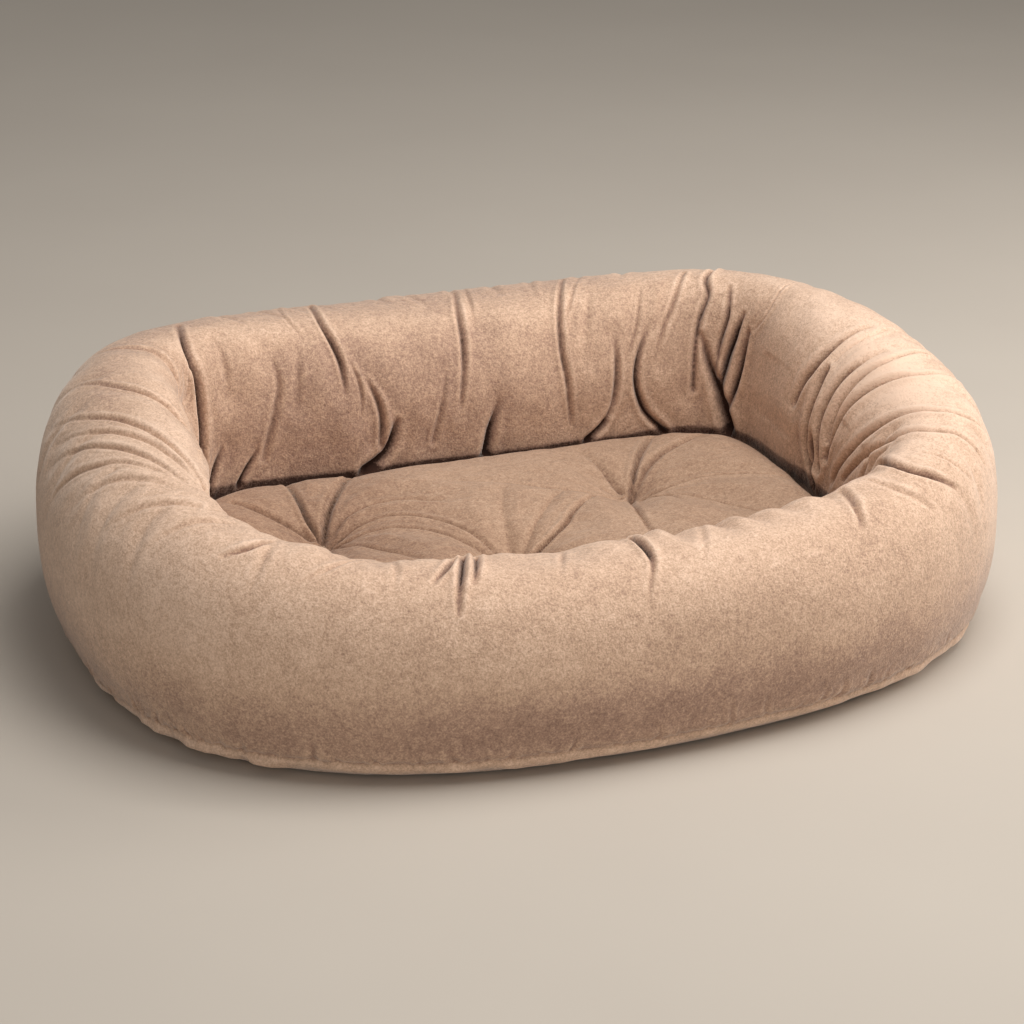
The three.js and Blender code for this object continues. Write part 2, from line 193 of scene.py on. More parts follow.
def through(points, per_piece=18):
    """A smooth line through the points, and where along it each sample lies."""
    p = np.array(points, float)
    e = np.vstack([2 * p[0] - p[1], p, 2 * p[-1] - p[-2]])
    out, at = [], []
    u = (np.arange(per_piece) / per_piece)[:, None]
    for i in range(len(p) - 1):
        a, b, c, d = e[i : i + 4]
        out.append(
            0.5
            * (2 * b + (c - a) * u + (2 * a - 5 * b + 4 * c - d) * u**2 + (3 * b - a - 3 * c + d) * u**3)
        )
        at.append(i + u[:, 0])
    out.append(p[-1:])
    at.append(np.array([len(p) - 1.0]))
    return np.vstack(out), np.concatenate(at)


def mesh_object(name, points, faces, materials=(), smooth=True):
    """A mesh object from points in metres and an array of quads, or a list of faces."""
    me = bpy.data.meshes.new(name)
    points = np.asarray(points, np.float32).reshape(-1, 3)
    if isinstance(faces, np.ndarray):
        n = faces.shape[1]
        me.vertices.add(len(points))
        me.vertices.foreach_set("co", points.ravel())
        me.loops.add(faces.size)
        me.loops.foreach_set("vertex_index", faces.astype(np.int32).ravel())
        me.polygons.add(len(faces))
        me.polygons.foreach_set("loop_start", np.arange(0, faces.size, n, dtype=np.int32))
        me.update(calc_edges=True)
    else:
        me.from_pydata([tuple(map(float, p)) for p in points], [], faces)
    me.polygons.foreach_set("use_smooth", np.full(len(me.polygons), smooth))
    me.update()
    o = bpy.data.objects.new(name, me)
    bpy.context.scene.collection.objects.link(o)
    for m in materials:
        me.materials.append(m)
    return o


def grid_faces(nu, nv, wrap_u=True, wrap_v=True):
    i = np.arange(nu if wrap_u else nu - 1)
    j = np.arange(nv if wrap_v else nv - 1)
    i, j = np.meshgrid(i, j, indexing="ij")
    i, j = i.ravel(), j.ravel()
    i2, j2 = (i + 1) % nu, (j + 1) % nv
    return np.stack([i * nv + j, i2 * nv + j, i2 * nv + j2, i * nv + j2], -1)


def add_value(obj, name, values):
    a = obj.data.attributes.new(name, "FLOAT", "POINT")
    a.data.foreach_set("value", np.asarray(values, np.float32).ravel())


def sweep(path, radius, sides=8, closed=False, squeeze=(1.0, 1.0), up=(0, 0, 1)):
    """Points and quads of a tube along a path (metres); radius may be one number or one per point."""
    p = np.asarray(path, float)
    n = len(p)
    if closed:
        tan = unit(np.roll(p, -1, 0) - np.roll(p, 1, 0))
    else:
        tan = unit(np.gradient(p, axis=0))
    ref = np.tile(np.array(up, float), (n, 1))
    flat = np.abs((tan * ref).sum(-1)) > 0.98
    ref[flat] = (1, 0, 0)
    a = unit(np.cross(tan, ref))
    b = np.cross(a, tan)
    r = np.broadcast_to(np.asarray(radius, float), (n,))
    ang = np.linspace(0, 2 * math.pi, sides, endpoint=False)
    ring = (
        a[:, None] * np.cos(ang)[None, :, None] * squeeze[0]
        + b[:, None] * np.sin(ang)[None, :, None] * squeeze[1]
    ) * r[:, None, None]
    pts = (p[:, None] + ring).reshape(-1, 3)
    faces = grid_faces(n, sides, wrap_u=closed)[:, ::-1]
    if closed:
        return pts, [tuple(f) for f in faces]
    caps = [tuple(range(sides)), tuple(range(len(pts) - 1, len(pts) - sides - 1, -1))]
    return pts, [tuple(f) for f in faces] + caps


def join(parts):
    pts, faces, k = [], [], 0
    for p, f in parts:
        pts.append(p)
        faces += [tuple(int(i) + k for i in q) for q in f]
        k += len(p)
    return np.vstack(pts), faces


# ---------------------------------------------------------------- materials
def node(tree, kind, **values):
    n = tree.nodes.new(kind)
    for k, v in values.items():
        setattr(n, k, v)
    return n


def new_material(name):
    m = bpy.data.materials.new(name)
    m.use_nodes = True
    m.node_tree.nodes.clear()
    out = node(m.node_tree, "ShaderNodeOutputMaterial")
    bsdf = node(m.node_tree, "ShaderNodeBsdfPrincipled")
    m.node_tree.links.new(bsdf.outputs[0], out.inputs[0])
    return m, m.node_tree, bsdf


def noise(tree, coords, scale, detail=2.0, rough=0.5, distortion=0.0):
    n = node(tree, "ShaderNodeTexNoise")
    n.inputs["Scale"].default_value = scale
    n.inputs["Detail"].default_value = detail
    n.inputs["Roughness"].default_value = rough
    n.inputs["Distortion"].default_value = distortion
    tree.links.new(coords, n.inputs["Vector"])
    return n.outputs["Fac"]


def spread(tree, value, low, high, to_low=0.0, to_high=1.0):
    n = node(tree, "ShaderNodeMapRange")
    for k, v in zip(
        ("From Min", "From Max", "To Min", "To Max"), (low, high, to_low, to_high)
    ):
        n.inputs[k].default_value = v
    tree.links.new(value, n.inputs["Value"])
    return n.outputs["Result"]


def maths(tree, operation, a, b):
    n = node(tree, "ShaderNodeMath", operation=operation)
    for k, v in enumerate((a, b)):
        if isinstance(v, (int, float)):
            n.inputs[k].default_value = v
        else:
            tree.links.new(v, n.inputs[k])
    return n.outputs[0]


def mix_colour(tree, factor, a, b, blend="MIX"):
    n = node(tree, "ShaderNodeMix", data_type="RGBA", blend_type=blend)
    n.clamp_factor = True
    for k, v in ((0, factor), (6, a), (7, b)):
        if isinstance(v, (int, float)):
            n.inputs[k].default_value = v
        elif isinstance(v, tuple):
            n.inputs[k].default_value = (*v, 1.0)
        else:
            tree.links.new(v, n.inputs[k])
    return n.outputs[2]


def bumped(tree, bsdf, layers):
    """A chain of bumps: (height, strength, distance in metres)."""
    last = None
    for height, strength, distance in layers:
        b = node(tree, "ShaderNodeBump")
        b.inputs["Strength"].default_value = strength
        b.inputs["Distance"].default_value = distance
        tree.links.new(height, b.inputs["Height"])
        if last is not None:
            tree.links.new(last, b.inputs["Normal"])
        last = b.outputs["Normal"]
    tree.links.new(last, bsdf.inputs["Normal"])


def velvet(name, light, mid, dark, sheen=0.5):
    """Short plush: a matt pile with a fine grain, strokes where the pile lies another way, and a soft sheen; a mesh
    attribute adds painted shade and painted highlights, down to a near-black painted shadow.
    """
    m, t, b = new_material(name)
    co = node(t, "ShaderNodeTexCoord").outputs["Object"]
    strokes = noise(t, co, 60.0, 4.0, 0.65, 0.5)
    tufts = noise(t, co, 230.0, 3.0, 0.65)
    pile = noise(t, co, 560.0, 2.0, 0.7)
    # The mesh attribute carries painted shade and painted highlights (fold slits, hollows, lips, contact lines, the
    # lower sides) plus a little random tone.
    painted_shade_and_tone = node(t, "ShaderNodeAttribute", attribute_name="painted_shade_and_tone").outputs["Fac"]
    tone = maths(t, "ADD", spread(t, strokes, 0.3, 0.7, -0.11, 0.11), 0.5)
    tone = maths(t, "ADD", tone, spread(t, tufts, 0.3, 0.7, -0.20, 0.20))
    tone = maths(t, "ADD", tone, spread(t, pile, 0.3, 0.7, -0.30, 0.30))
    tone = maths(t, "ADD", tone, painted_shade_and_tone)
    # Near-black colour for the painted shadow in fold slits and along contact lines.
    deep = tuple(v * f for v, f in zip(dark, (0.13, 0.09, 0.08)))
    painted_crease_shadow = mix_colour(t, spread(t, tone, -1.0, 0.0), deep, dark)
    low = mix_colour(t, spread(t, tone, 0.0, 0.5), painted_crease_shadow, mid)
    colour = mix_colour(t, spread(t, tone, 0.5, 1.0), low, light)
    t.links.new(colour, b.inputs["Base Color"])
    t.links.new(spread(t, tufts, 0.3, 0.7, 0.84, 0.98), b.inputs["Roughness"])
    b.inputs["Specular IOR Level"].default_value = 0.18
    b.inputs["Sheen Weight"].default_value = sheen
    b.inputs["Sheen Roughness"].default_value = 0.4
    b.inputs["Sheen Tint"].default_value = (1.0, 0.91, 0.83, 1.0)
    bumped(
        t,
        b,
        [(strokes, 0.3, 0.0016), (tufts, 0.5, 0.0013), (pile, 0.7, 0.0010)],
    )
    return m


def woven(name, light, dark, pitch=0.0011, roughness=0.9, depth=0.0003):
    """A plain weave in the x-y plane."""
    m, t, b = new_material(name)
    co = node(t, "ShaderNodeTexCoord").outputs["Object"]
    split = node(t, "ShaderNodeSeparateXYZ")
    t.links.new(co, split.inputs[0])
    k = 2 * math.pi / pitch
    wx = maths(t, "SINE", maths(t, "MULTIPLY", split.outputs[0], k), 0)
    wy = maths(t, "SINE", maths(t, "MULTIPLY", split.outputs[1], k), 0)
    cross = maths(t, "MULTIPLY", wx, wy)
    worn = noise(t, co, 24.0, 4.0, 0.6)
    slub = noise(t, co, 300.0, 2.0, 0.6)
    f = maths(t, "ADD", spread(t, cross, -1, 1, 0.1, 0.6), spread(t, worn, 0.3, 0.7, -0.2, 0.3))
    f = maths(t, "ADD", f, spread(t, slub, 0.3, 0.7, -0.12, 0.12))
    t.links.new(mix_colour(t, f, dark, light), b.inputs["Base Color"])
    t.links.new(spread(t, slub, 0.3, 0.7, roughness - 0.08, roughness + 0.06), b.inputs["Roughness"])
    b.inputs["Specular IOR Level"].default_value = 0.25
    bumped(t, b, [(worn, 0.2, 0.001), (cross, 0.7, depth)])
    return m


def twisted_thread(name, light, dark):
    m, t, b = new_material(name)
    co = node(t, "ShaderNodeTexCoord").outputs["Object"]
    w = node(t, "ShaderNodeTexWave", bands_direction="DIAGONAL")
    w.inputs["Scale"].default_value = 420.0
    w.inputs["Distortion"].default_value = 1.4
    t.links.new(co, w.inputs["Vector"])
    fuzz = noise(t, co, 900.0, 2.0, 0.6)
    t.links.new(mix_colour(t, w.outputs["Fac"], dark, light), b.inputs["Base Color"])
    t.links.new(spread(t, fuzz, 0.3, 0.7, 0.5, 0.75), b.inputs["Roughness"])
    b.inputs["Sheen Weight"].default_value = 0.2
    bumped(t, b, [(w.outputs["Fac"], 0.6, 0.0003)])
    return m


def plated_metal(name, bright, dull):
    m, t, b = new_material(name)
    co = node(t, "ShaderNodeTexCoord").outputs["Object"]
    cloud = noise(t, co, 160.0, 4.0, 0.6)
    scratch_map = node(t, "ShaderNodeMapping")
    scratch_map.inputs["Scale"].default_value = (0.15, 1.0, 1.0)
    t.links.new(co, scratch_map.inputs["Vector"])
    scratch = noise(t, scratch_map.outputs[0], 2600.0, 3.0, 0.7)
    wear = spread(t, cloud, 0.38, 0.62)
    t.links.new(mix_colour(t, wear, dull, bright), b.inputs["Base Color"])
    t.links.new(
        maths(t, "ADD", spread(t, cloud, 0.3, 0.7, 0.42, 0.26), spread(t, scratch, 0.3, 0.7, -0.05, 0.07)),
        b.inputs["Roughness"],
    )
    b.inputs["Metallic"].default_value = 1.0
    bumped(t, b, [(scratch, 0.25, 0.00006), (cloud, 0.15, 0.0002)])
    return m


def nylon(name, light, dark):
    m, t, b = new_material(name)
    co = node(t, "ShaderNodeTexCoord").outputs["Object"]
    cloud = noise(t, co, 90.0, 3.0, 0.6)
    fine = noise(t, co, 1200.0, 2.0, 0.6)
    t.links.new(mix_colour(t, spread(t, cloud, 0.35, 0.65), dark, light), b.inputs["Base Color"])
    t.links.new(spread(t, fine, 0.3, 0.7, 0.32, 0.46), b.inputs["Roughness"])
    b.inputs["Specular IOR Level"].default_value = 0.45
    bumped(t, b, [(fine, 0.15, 0.00008)])
    return m


def fibre(name, light, dark):
    m, t, b = new_material(name)
    co = node(t, "ShaderNodeTexCoord").outputs["Object"]
    a = noise(t, co, 60.0, 6.0, 0.7, 2.0)
    c = noise(t, co, 400.0, 4.0, 0.7, 1.0)
    t.links.new(mix_colour(t, spread(t, a, 0.35, 0.65), dark, light), b.inputs["Base Color"])
    t.links.new(spread(t, c, 0.3, 0.7, 0.85, 1.0), b.inputs["Roughness"])
    bumped(t, b, [(a, 0.6, 0.004), (c, 0.6, 0.001)])
    return m


plush = velvet("plush_ring", (0.82, 0.595, 0.45), (0.60, 0.408, 0.288), (0.37, 0.234, 0.172))
# A darker copy of the ring's plush for the cushion: painted shade for the well it sits in, with a weaker sheen.
plush_cushion_painted_shade = velvet(
    "plush_cushion_painted_shade", (0.60, 0.415, 0.295), (0.435, 0.282, 0.190), (0.27, 0.160, 0.106), 0.36
)
base_cloth = woven("base_cloth", (0.115, 0.082, 0.062), (0.045, 0.032, 0.025), 0.0016)
lining = woven("lining", (0.78, 0.75, 0.68), (0.58, 0.55, 0.48), 0.0009)
tape_cloth = woven("zip_tape", (0.33, 0.215, 0.145), (0.19, 0.118, 0.078), 0.0009)
ribbon = woven("label_ribbon", (0.84, 0.82, 0.77), (0.66, 0.64, 0.59), 0.0007, 0.6)
coil_nylon = nylon("zip_coil", (0.31, 0.2, 0.135), (0.22, 0.138, 0.092))
antique = plated_metal("zip_metal", (0.56, 0.5, 0.41), (0.27, 0.235, 0.19))
thread = twisted_thread("tuft_thread", (0.42, 0.27, 0.175), (0.22, 0.135, 0.085))
seam_thread = twisted_thread("seam_thread", (0.55, 0.37, 0.25), (0.32, 0.2, 0.13))
stuffing = fibre("stuffing", (0.86, 0.85, 0.82), (0.7, 0.69, 0.66))

# ---------------------------------------------------------------- the zipper's plane (mm)
ZIP_O = np.array([-2.296, 324.926, 35.862])
ZIP_X = np.array([-1.0, 0.0, 0.0])
ZIP_V = np.array([0.0, 0.49806, 0.86714])
ZIP_N = np.array([0.0, 0.86714, -0.49806])
_tape_low, _tape_high = (np.array(v) * 1000 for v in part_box("zip_tape_upper"))
ZIP_O[0] = (_tape_low[0] + _tape_high[0]) / 2
WINDOW_X, WINDOW_V = (_tape_high[0] - _tape_low[0]) / 2 - 1.5, 7.6


def zip_frame(p):
    q = p - ZIP_O
    return q @ ZIP_X, q @ ZIP_V, q @ ZIP_N


def zip_to_world(x, v, n):
    x, v, n = np.broadcast_arrays(*(np.asarray(k, float) for k in (x, v, n)))
    return ZIP_O + x[..., None] * ZIP_X + v[..., None] * ZIP_V + n[..., None] * ZIP_N


# ---------------------------------------------------------------- folds of the ring
# (depth, half width, lip, step, strengths, points): mm, with each point's place round the bed and round the tube in degrees.
FOLDS = [
    # left end
    (8.0, 3.4, 2.6, 0.0, [0.25, 0.7, 1, 1, 1, 0.9, 0.9], [(129.2, 85.5), (133.0, 108.0), (135.5, 126.0), (136.0, 143), (136.3, 157.5), (137.0, 171), (137.5, 186)]),
    (2.2, 2.4, 1.6, 0.6, [0.2, 1, 1, 0.6, 0.4], [(132.5, 106.0), (137.2, 132), (141, 147), (158, 147), (177.2, 133.0)]),
    (2.2, 2.8, 1.8, 0.8, [0.1, 1, 1, 0.9, 0.8, 0.3], [(140.5, 108), (141.5, 126), (146.0, 141), (160, 141.5), (173, 134), (191.5, 117.0)]),
    (2.8, 4.2, 2.0, 1.3, [0.1, 0.6, 1, 1, 0.5], [(155.5, 52), (159.2, 80.5), (161.2, 101.5), (163, 118.0), (166, 131)]),
    (2.2, 4.4, 1.6, 1.0, [0.1, 0.8, 1, 0.6], [(144.8, 64), (142.8, 88.5), (141.2, 111.0), (142.0, 133.5)]),
    (2.8, 4.2, 2.2, 1.5, [0.1, 0.6, 1, 1, 1, 0.6], [(162, 40), (168.6, 65.0), (172.5, 84.0), (177.2, 97.0), (184.6, 107), (197.5, 113.0)]),
    (2.4, 3.8, 2.0, 1.4, [0.1, 0.6, 1, 1, 1, 0.5], [(167.5, 40), (173.0, 62.0), (176.5, 78.0), (180.5, 91.5), (186.0, 101.0), (194, 108)]),
    (2.8, 4.2, 2.4, 1.4, [0.1, 0.6, 1, 1, 0.7, 0.2], [(170.0, 34), (175.0, 52.5), (179.5, 68.0), (183.8, 80.5), (189, 91.0), (196, 98.0)]),
    (2.6, 3.6, 1.8, 1.2, [0.3, 1, 1, 0.8, 0.2], [(175.5, 27), (179.0, 43.0), (182.2, 56), (186, 73), (192.0, 90.0)]),
    (1.8, 5.5, 1.8, 1.0, [0.1, 0.8, 1, 0.3], [(184.0, 36), (187.6, 56.0), (190.8, 71.0), (195.5, 86)]),
    (2.0, 5.5, 1.8, 1.0, [0.1, 0.8, 1, 0.6], [(194.0, 38), (197.4, 61.0), (200.0, 76.0), (203.6, 90)]),
    (1.5, 5.5, 1.4, 0.8, [0.1, 0.9, 0.8, 0.2], [(203.2, 44), (205.6, 65.5), (207.5, 82.5), (210, 95)]),
    # rear wall
    (1.9, 3.2, 1.4, 0.6, [0.4, 1, 0.3], [(111.0, 72.0), (114.4, 100), (115.6, 122.0)]),
    (4.4, 3.2, 2.4, 1.3, [0.5, 0.9, 1, 0.9, 0.2], [(107.0, 80.0), (110.2, 108.5), (111.2, 124), (111.6, 139), (112.2, 153)]),
    (2.8, 3.0, 2.0, 0.7, [0.2, 1, 0.8, 0.2], [(110.0, 136.0), (109.4, 147.0), (109.4, 156.5), (110.0, 165)]),
    (3.6, 3.2, 2.2, 0.9, [0.2, 1, 1, 0.8], [(107.8, 148), (106.4, 159.5), (106.0, 170.0), (106.3, 181)]),
    (8.5, 4.2, 2.8, 0.0, [0.3, 0.9, 1, 1], [(103.2, 170), (104.6, 181), (106.4, 188), (109.4, 193)]),
    (2.6, 5.6, 2.0, 0.8, [0.2, 0.8, 1, 1, 0.7], [(122.0, 133), (122.5, 147.5), (123.8, 159.5), (125.0, 171), (126, 182)]),
    (5.0, 3.2, 1.8, 0.0, [0.2, 0.9, 1], [(126.8, 177), (128.4, 185), (129.8, 193)]),
    (6.0, 3.6, 1.8, 0.0, [0.2, 0.8, 1], [(132.6, 174), (134.2, 184), (135.4, 193)]),
    (1.8, 6.0, 1.6, 0.4, [0.2, 1, 0.2], [(128.8, 118), (129.8, 135.5), (130.7, 149)]),
    (1.6, 6.0, 1.4, 0.4, [0.2, 1, 0.2], [(117.6, 130), (119.2, 143.5), (120.6, 157)]),
    (3.6, 3.4, 2.2, 1.0, [0.3, 1, 1, 0.8, 0.3], [(83.4, 80.0), (85.8, 112), (87.0, 131.5), (88.0, 146), (89.6, 165)]),
    (2.0, 3.4, 1.4, 0.6, [0.4, 1, 0.2], [(81.0, 68), (82.4, 98), (83.8, 122.5)]),
    (2.2, 4.6, 1.8, 0.5, [0.2, 1, 1], [(92.0, 148), (93.8, 165.5), (95.4, 182)]),
    (7.5, 4.2, 2.4, 0.0, [0.1, 0.8, 1], [(81.2, 165), (83.0, 179.0), (84.0, 193)]),
    (3.8, 3.0, 2.2, 1.0, [0.4, 1, 1, 1, 0.4], [(66.4, 80.0), (68.0, 119), (68.2, 142.5), (67.2, 160), (66.4, 183)]),
    (2.3, 3.0, 1.6, 0.7, [0.4, 1, 0.3], [(63.6, 74), (66.0, 113.0), (67.8, 134)]),
    (1.3, 6.5, 1.2, 0.3, [0.2, 1, 0.2], [(62.8, 108), (63.5, 131.0), (64.0, 149)]),
    (3.8, 3.6, 2.2, 0.7, [0.2, 1, 1, 0.6], [(58.9, 143), (58.5, 158.5), (58.8, 172.0), (59.6, 181)]),
    (6.5, 3.8, 2.2, 0.0, [0.3, 1, 1], [(59.6, 180), (61.0, 187), (63.6, 193)]),
    (2.7, 3.0, 1.8, 0.8, [0.3, 1, 0.8, 0.2], [(55.0, 110), (55.3, 134.5), (56.1, 147), (57.4, 156)]),
    (6.2, 3.6, 2.8, 0.8, [0.2, 0.7, 0.9, 1, 1], [(53.8, 141), (55.2, 156.0), (55.2, 169.5), (53.6, 183), (50.5, 194)]),
    (3.2, 3.0, 1.8, 0.9, [0.5, 1, 0.8, 0.2], [(48.6, 90), (49.8, 125), (51.3, 142.5), (52.2, 157)]),
    (4.6, 3.4, 2.0, 1.0, [0.6, 1, 1, 1, 0.8], [(44.0, 72), (45.0, 103), (44.4, 121), (45.6, 143), (45.8, 174)]),
    (11.0, 4.0, 3.0, 0.0, [0.25, 0.6, 1, 1], [(45.0, 146), (42.8, 162.0), (40.4, 177), (38.2, 192)]),
    (8.0, 6.0, 1.0, 0.0, [0.1, 0.8, 1], [(41.4, 166), (40.0, 178), (37.4, 194)]),
    (4.6, 3.2, 2.0, 0.8, [0.3, 1, 0.9, 0.3], [(40.6, 112), (40.3, 135.0), (41.0, 150), (41.6, 167)]),
    (6.0, 4.0, 2.4, 0.8, [0.3, 1, 1, 0.6], [(36.8, 132), (38.0, 148.5), (39.2, 161.0), (40.2, 175)]),
    (5.6, 4.0, 2.4, 0.8, [0.3, 1, 1, 0.6], [(34.6, 142), (34.9, 159.0), (36.2, 170.5), (37.8, 182)]),
    (2.4, 2.6, 1.4, 0.7, [0.6, 1, 1, 0.2], [(29.0, 84), (29.7, 116), (31.4, 132.5), (34.2, 145)]),
    # right end
    (8.5, 4.4, 3.4, 1.6, [0.15, 0.5, 1, 1, 0.3], [(3.6, 92), (4.2, 116.5), (6, 135), (9, 148), (12.0, 162)]),
    (9.5, 4.0, 3.4, 1.2, [0.4, 1, 1, 1, 1], [(2.0, 136), (2.7, 151.5), (3.9, 165), (3.6, 180), (-1.6, 191)]),
    (9.0, 4.0, 3.4, 1.4, [0.1, 0.4, 0.9, 1, 1], [(-6.4, 100), (-5.9, 121.0), (-4.2, 141), (-2.6, 161.0), (-4.2, 181)]),
    (4.6, 4.2, 2.8, 1.8, [0.2, 0.7, 1, 1, 0.5], [(-7.0, 48), (-8.4, 76), (-10.6, 106), (-9.6, 132.5), (-7.8, 164.0)]),
    (2.2, 4.0, 1.8, 1.2, [0.2, 0.8, 1, 0.5], [(1.4, 54), (1.6, 76), (-0.2, 104), (0.9, 130)]),
    (5.0, 4.4, 3.0, 1.9, [0.3, 0.8, 1, 1, 1, 0.6], [(-13.4, 44), (-16.2, 70), (-17.5, 95), (-16.0, 122.0), (-13.4, 142), (-8.0, 173.0)]),
    (4.6, 4.6, 3.0, 1.9, [0.3, 0.8, 1, 1, 1, 0.6], [(-27.6, 46), (-29.6, 73.0), (-29.8, 100), (-27.2, 130.5), (-22.4, 151.0), (-13, 180)]),
    (4.2, 4.6, 2.8, 1.7, [0.3, 0.8, 1, 1, 0.6], [(-35.2, 42), (-35.5, 70), (-36.6, 100), (-33.2, 135.0), (-20.0, 172)]),
    (5.4, 4.0, 2.8, 1.4, [0.4, 1, 0.9, 0.8, 0.3], [(-39, 138), (-47.4, 112.0), (-49.4, 86.5), (-48.0, 67.0), (-45.6, 50)]),
    (2.2, 4.6, 1.8, 1.0, [0.3, 1, 0.4], [(-41.8, 46), (-42.8, 65.5), (-43.6, 90)]),
    (3.6, 4.0, 2.0, 0.8, [0.5, 1, 0.3], [(-58.4, 108), (-60.8, 83.0), (-63.6, 56)]),
    (2.0, 5.5, 1.8, 0.9, [0.3, 1, 0.4], [(-55.0, 100.5), (-54.4, 74), (-52.0, 48)]),
    (9.0, 4.2, 1.6, 0.0, [0.2, 1, 0.2], [(1.0, 168), (0.4, 176), (-0.4, 184)]),
    # front rim
    (6.0, 3.4, 3.0, 0.8, [0.9, 1, 0.3], [(243.0, 112), (243.8, 78), (244.2, 46)]),
    (5.0, 3.2, 2.4, 0.6, [0.9, 1, 0.2], [(244.6, 116), (245.3, 88), (245.6, 66)]),
    (4.6, 3.2, 2.4, 0.6, [0.9, 1, 0.2], [(241.9, 112), (241.8, 90), (240.8, 68.0)]),
    (6.0, 3.2, 3.0, 1.6, [1, 1, 0.4, 0.15, 0.0], [(267.4, 114), (267.9, 84), (267.8, 66), (266.6, 48), (266.2, 30)]),
    (4.0, 3.4, 2.2, 0.9, [0.2, 1, 0.3], [(214.8, 62), (216.8, 76.0), (218, 92)]),
    (1.9, 4.2, 1.6, 0.4, [0.2, 1, 0.4], [(225.4, 58), (228.0, 76), (230.0, 107.5)]),
    (1.3, 6.5, 1.2, 0.3, [0.4, 1, 0.1], [(218.4, 100), (220.0, 70), (220.6, 42)]),
    (2.4, 4.0, 1.6, 0.4, [0.5, 1, 0.2], [(-60.6, 97), (-62.2, 72), (-63.4, 48)]),
    (1.3, 5.5, 1.2, 0.3, [0.4, 1, 0.1], [(279.0, 114.0), (276.5, 86.0), (274.3, 60)]),
    (1.6, 4.6, 1.3, 0.3, [0.5, 1, 0.1], [(233.8, 111.5), (235.8, 85.5), (236.7, 58)]),
    (1.6, 4.6, 1.3, 0.3, [0.5, 1, 0.1], [(256.8, 114.0), (256.5, 92), (255.8, 64)]),
]


# Small puffs and hollows along the front rim: degrees round the bed, mm, degrees wide.
RIM_PUFFS = [
    (232.5, -2.5, 1.6), (237.5, 2.2, 2.6), (249.5, 2.0, 3.0), (262.5, 2.4, 3.2), (271.3, 4.6, 1.5), (274.4, -3.6, 1.3),
    (278.6, 4.2, 2.0), (281.4, -2.2, 0.9), (283.8, 4.2, 1.5), (286.4, -3.4, 1.0), (289.4, 4.2, 1.8), (292.0, -1.8, 1.0),
    (295.6, 5.0, 2.4), (299.4, -2.6, 1.5), (304.0, 4.4, 2.8), (223.5, 2.6, 2.4), (227.8, -3.0, 1.3),
]


def random_folds():
    """More folds of the same kind where the ones above leave the ring bare: the front's inner wall, the sides, and the back."""
    r = np.random.RandomState(733)
    out = []
    # the front's inner wall, seen from behind and above: upright folds where the wall is pushed together
    for t0 in np.arange(206, 334, 6.4):
        t = t0 + r.uniform(-2.2, 2.2)
        lo, hi = r.uniform(104, 128), r.uniform(160, 190)
        lean = r.uniform(-2.5, 2.5)
        w = r.uniform(2.8, 4.6)
        out.append((r.uniform(1.8, 4.4), w, w * 0.55, r.uniform(-1, 1), [0.1, 0.9, 1, 0.5], [(t, lo), (t + lean * 0.4, lo + (hi - lo) * 0.35), (t + lean, lo + (hi - lo) * 0.7), (t + lean * 1.2, hi)]))
    # inner walls of both ends, low down
    for t0 in np.arange(146, 200, 9):
        t = t0 + r.uniform(-2, 2)
        out.append((r.uniform(2.0, 4.2), r.uniform(3, 4.4), 1.8, r.uniform(-1, 1), [0.1, 0.9, 1], [(t, r.uniform(140, 155)), (t + r.uniform(-2, 2), 172), (t + r.uniform(-3, 3), 190)]))
    # outer side of the ends and corners: long shallow folds that hang from the rim
    for t0 in list(np.arange(-48, 62, 9.0)) + list(np.arange(122, 212, 9.0)):
        t = t0 + r.uniform(-3, 3)
        lo = r.uniform(0, 24)
        hi = r.uniform(52, 74)
        lean = r.uniform(-3, 3)
        out.append((r.uniform(0.6, 1.5), r.uniform(5, 9), 0.8, r.uniform(-0.8, 0.8), [0.4, 1, 0.5, 0.0], [(t, hi), (t + lean * 0.3, hi * 0.66 + lo * 0.34), (t + lean * 0.7, hi * 0.33 + lo * 0.67), (t + lean, lo)]))
    # top and back of the rear side
    for t0 in np.arange(58, 128, 6.5):
        t = t0 + r.uniform(-2.4, 2.4)
        hi, lo = r.uniform(84, 100), r.uniform(22, 50)
        lean = r.uniform(-2.4, 2.4)
        out.append((r.uniform(0.9, 2.4), r.uniform(3.4, 6), 1.2, r.uniform(-0.8, 0.8), [0.3, 1, 0.5, 0.0], [(t, hi), (t + lean * 0.3, hi * 0.65 + lo * 0.35), (t + lean * 0.7, hi * 0.3 + lo * 0.7), (t + lean, lo)]))
    return out


def seam_puckers(seam_s):
    """Short gathers that rise from the bottom seam all round."""
    r = np.random.RandomState(91)
    out, t = [], 0.0
    while t < 360:
        t += r.uniform(2.0, 5.4) * (0.8 if 150 < t < 215 or t > 320 or t < 40 else 1.0)
        s0 = float(np.interp(t % 360, np.linspace(0, 360, len(seam_s), endpoint=False), seam_s))
        length = r.uniform(5, 17) * (1.7 if r.rand() < 0.2 else 1)
        strong = 1.7 if 188 < t % 360 < 262 else 1.0
        out.append((r.uniform(1.0, 2.6) * strong, r.uniform(2.2, 3.8), r.uniform(0.5, 1.2) * strong, r.uniform(-0.4, 0.4), [1, 0.7, 0.1], [(t, s0 + 1), (t + r.uniform(-0.7, 0.7), s0 + length * 0.5), (t + r.uniform(-1.5, 1.5), s0 + length)]))
    return out


def fold_profile(d, depth, w, lip, step):
    a = np.abs(d)
    return (
        -depth * (0.5 * np.exp(-((a / w) ** 1.5)) + 0.5 * np.exp(-((a / (0.45 * w)) ** 1.2)))
        + lip * np.exp(-(((a - 1.9 * w) / (1.1 * w)) ** 2))
        + step * np.sign(d) * (1 - np.exp(-((a / (0.5 * w)) ** 2))) * np.exp(-((a / (4.0 * w)) ** 1.5))
    )


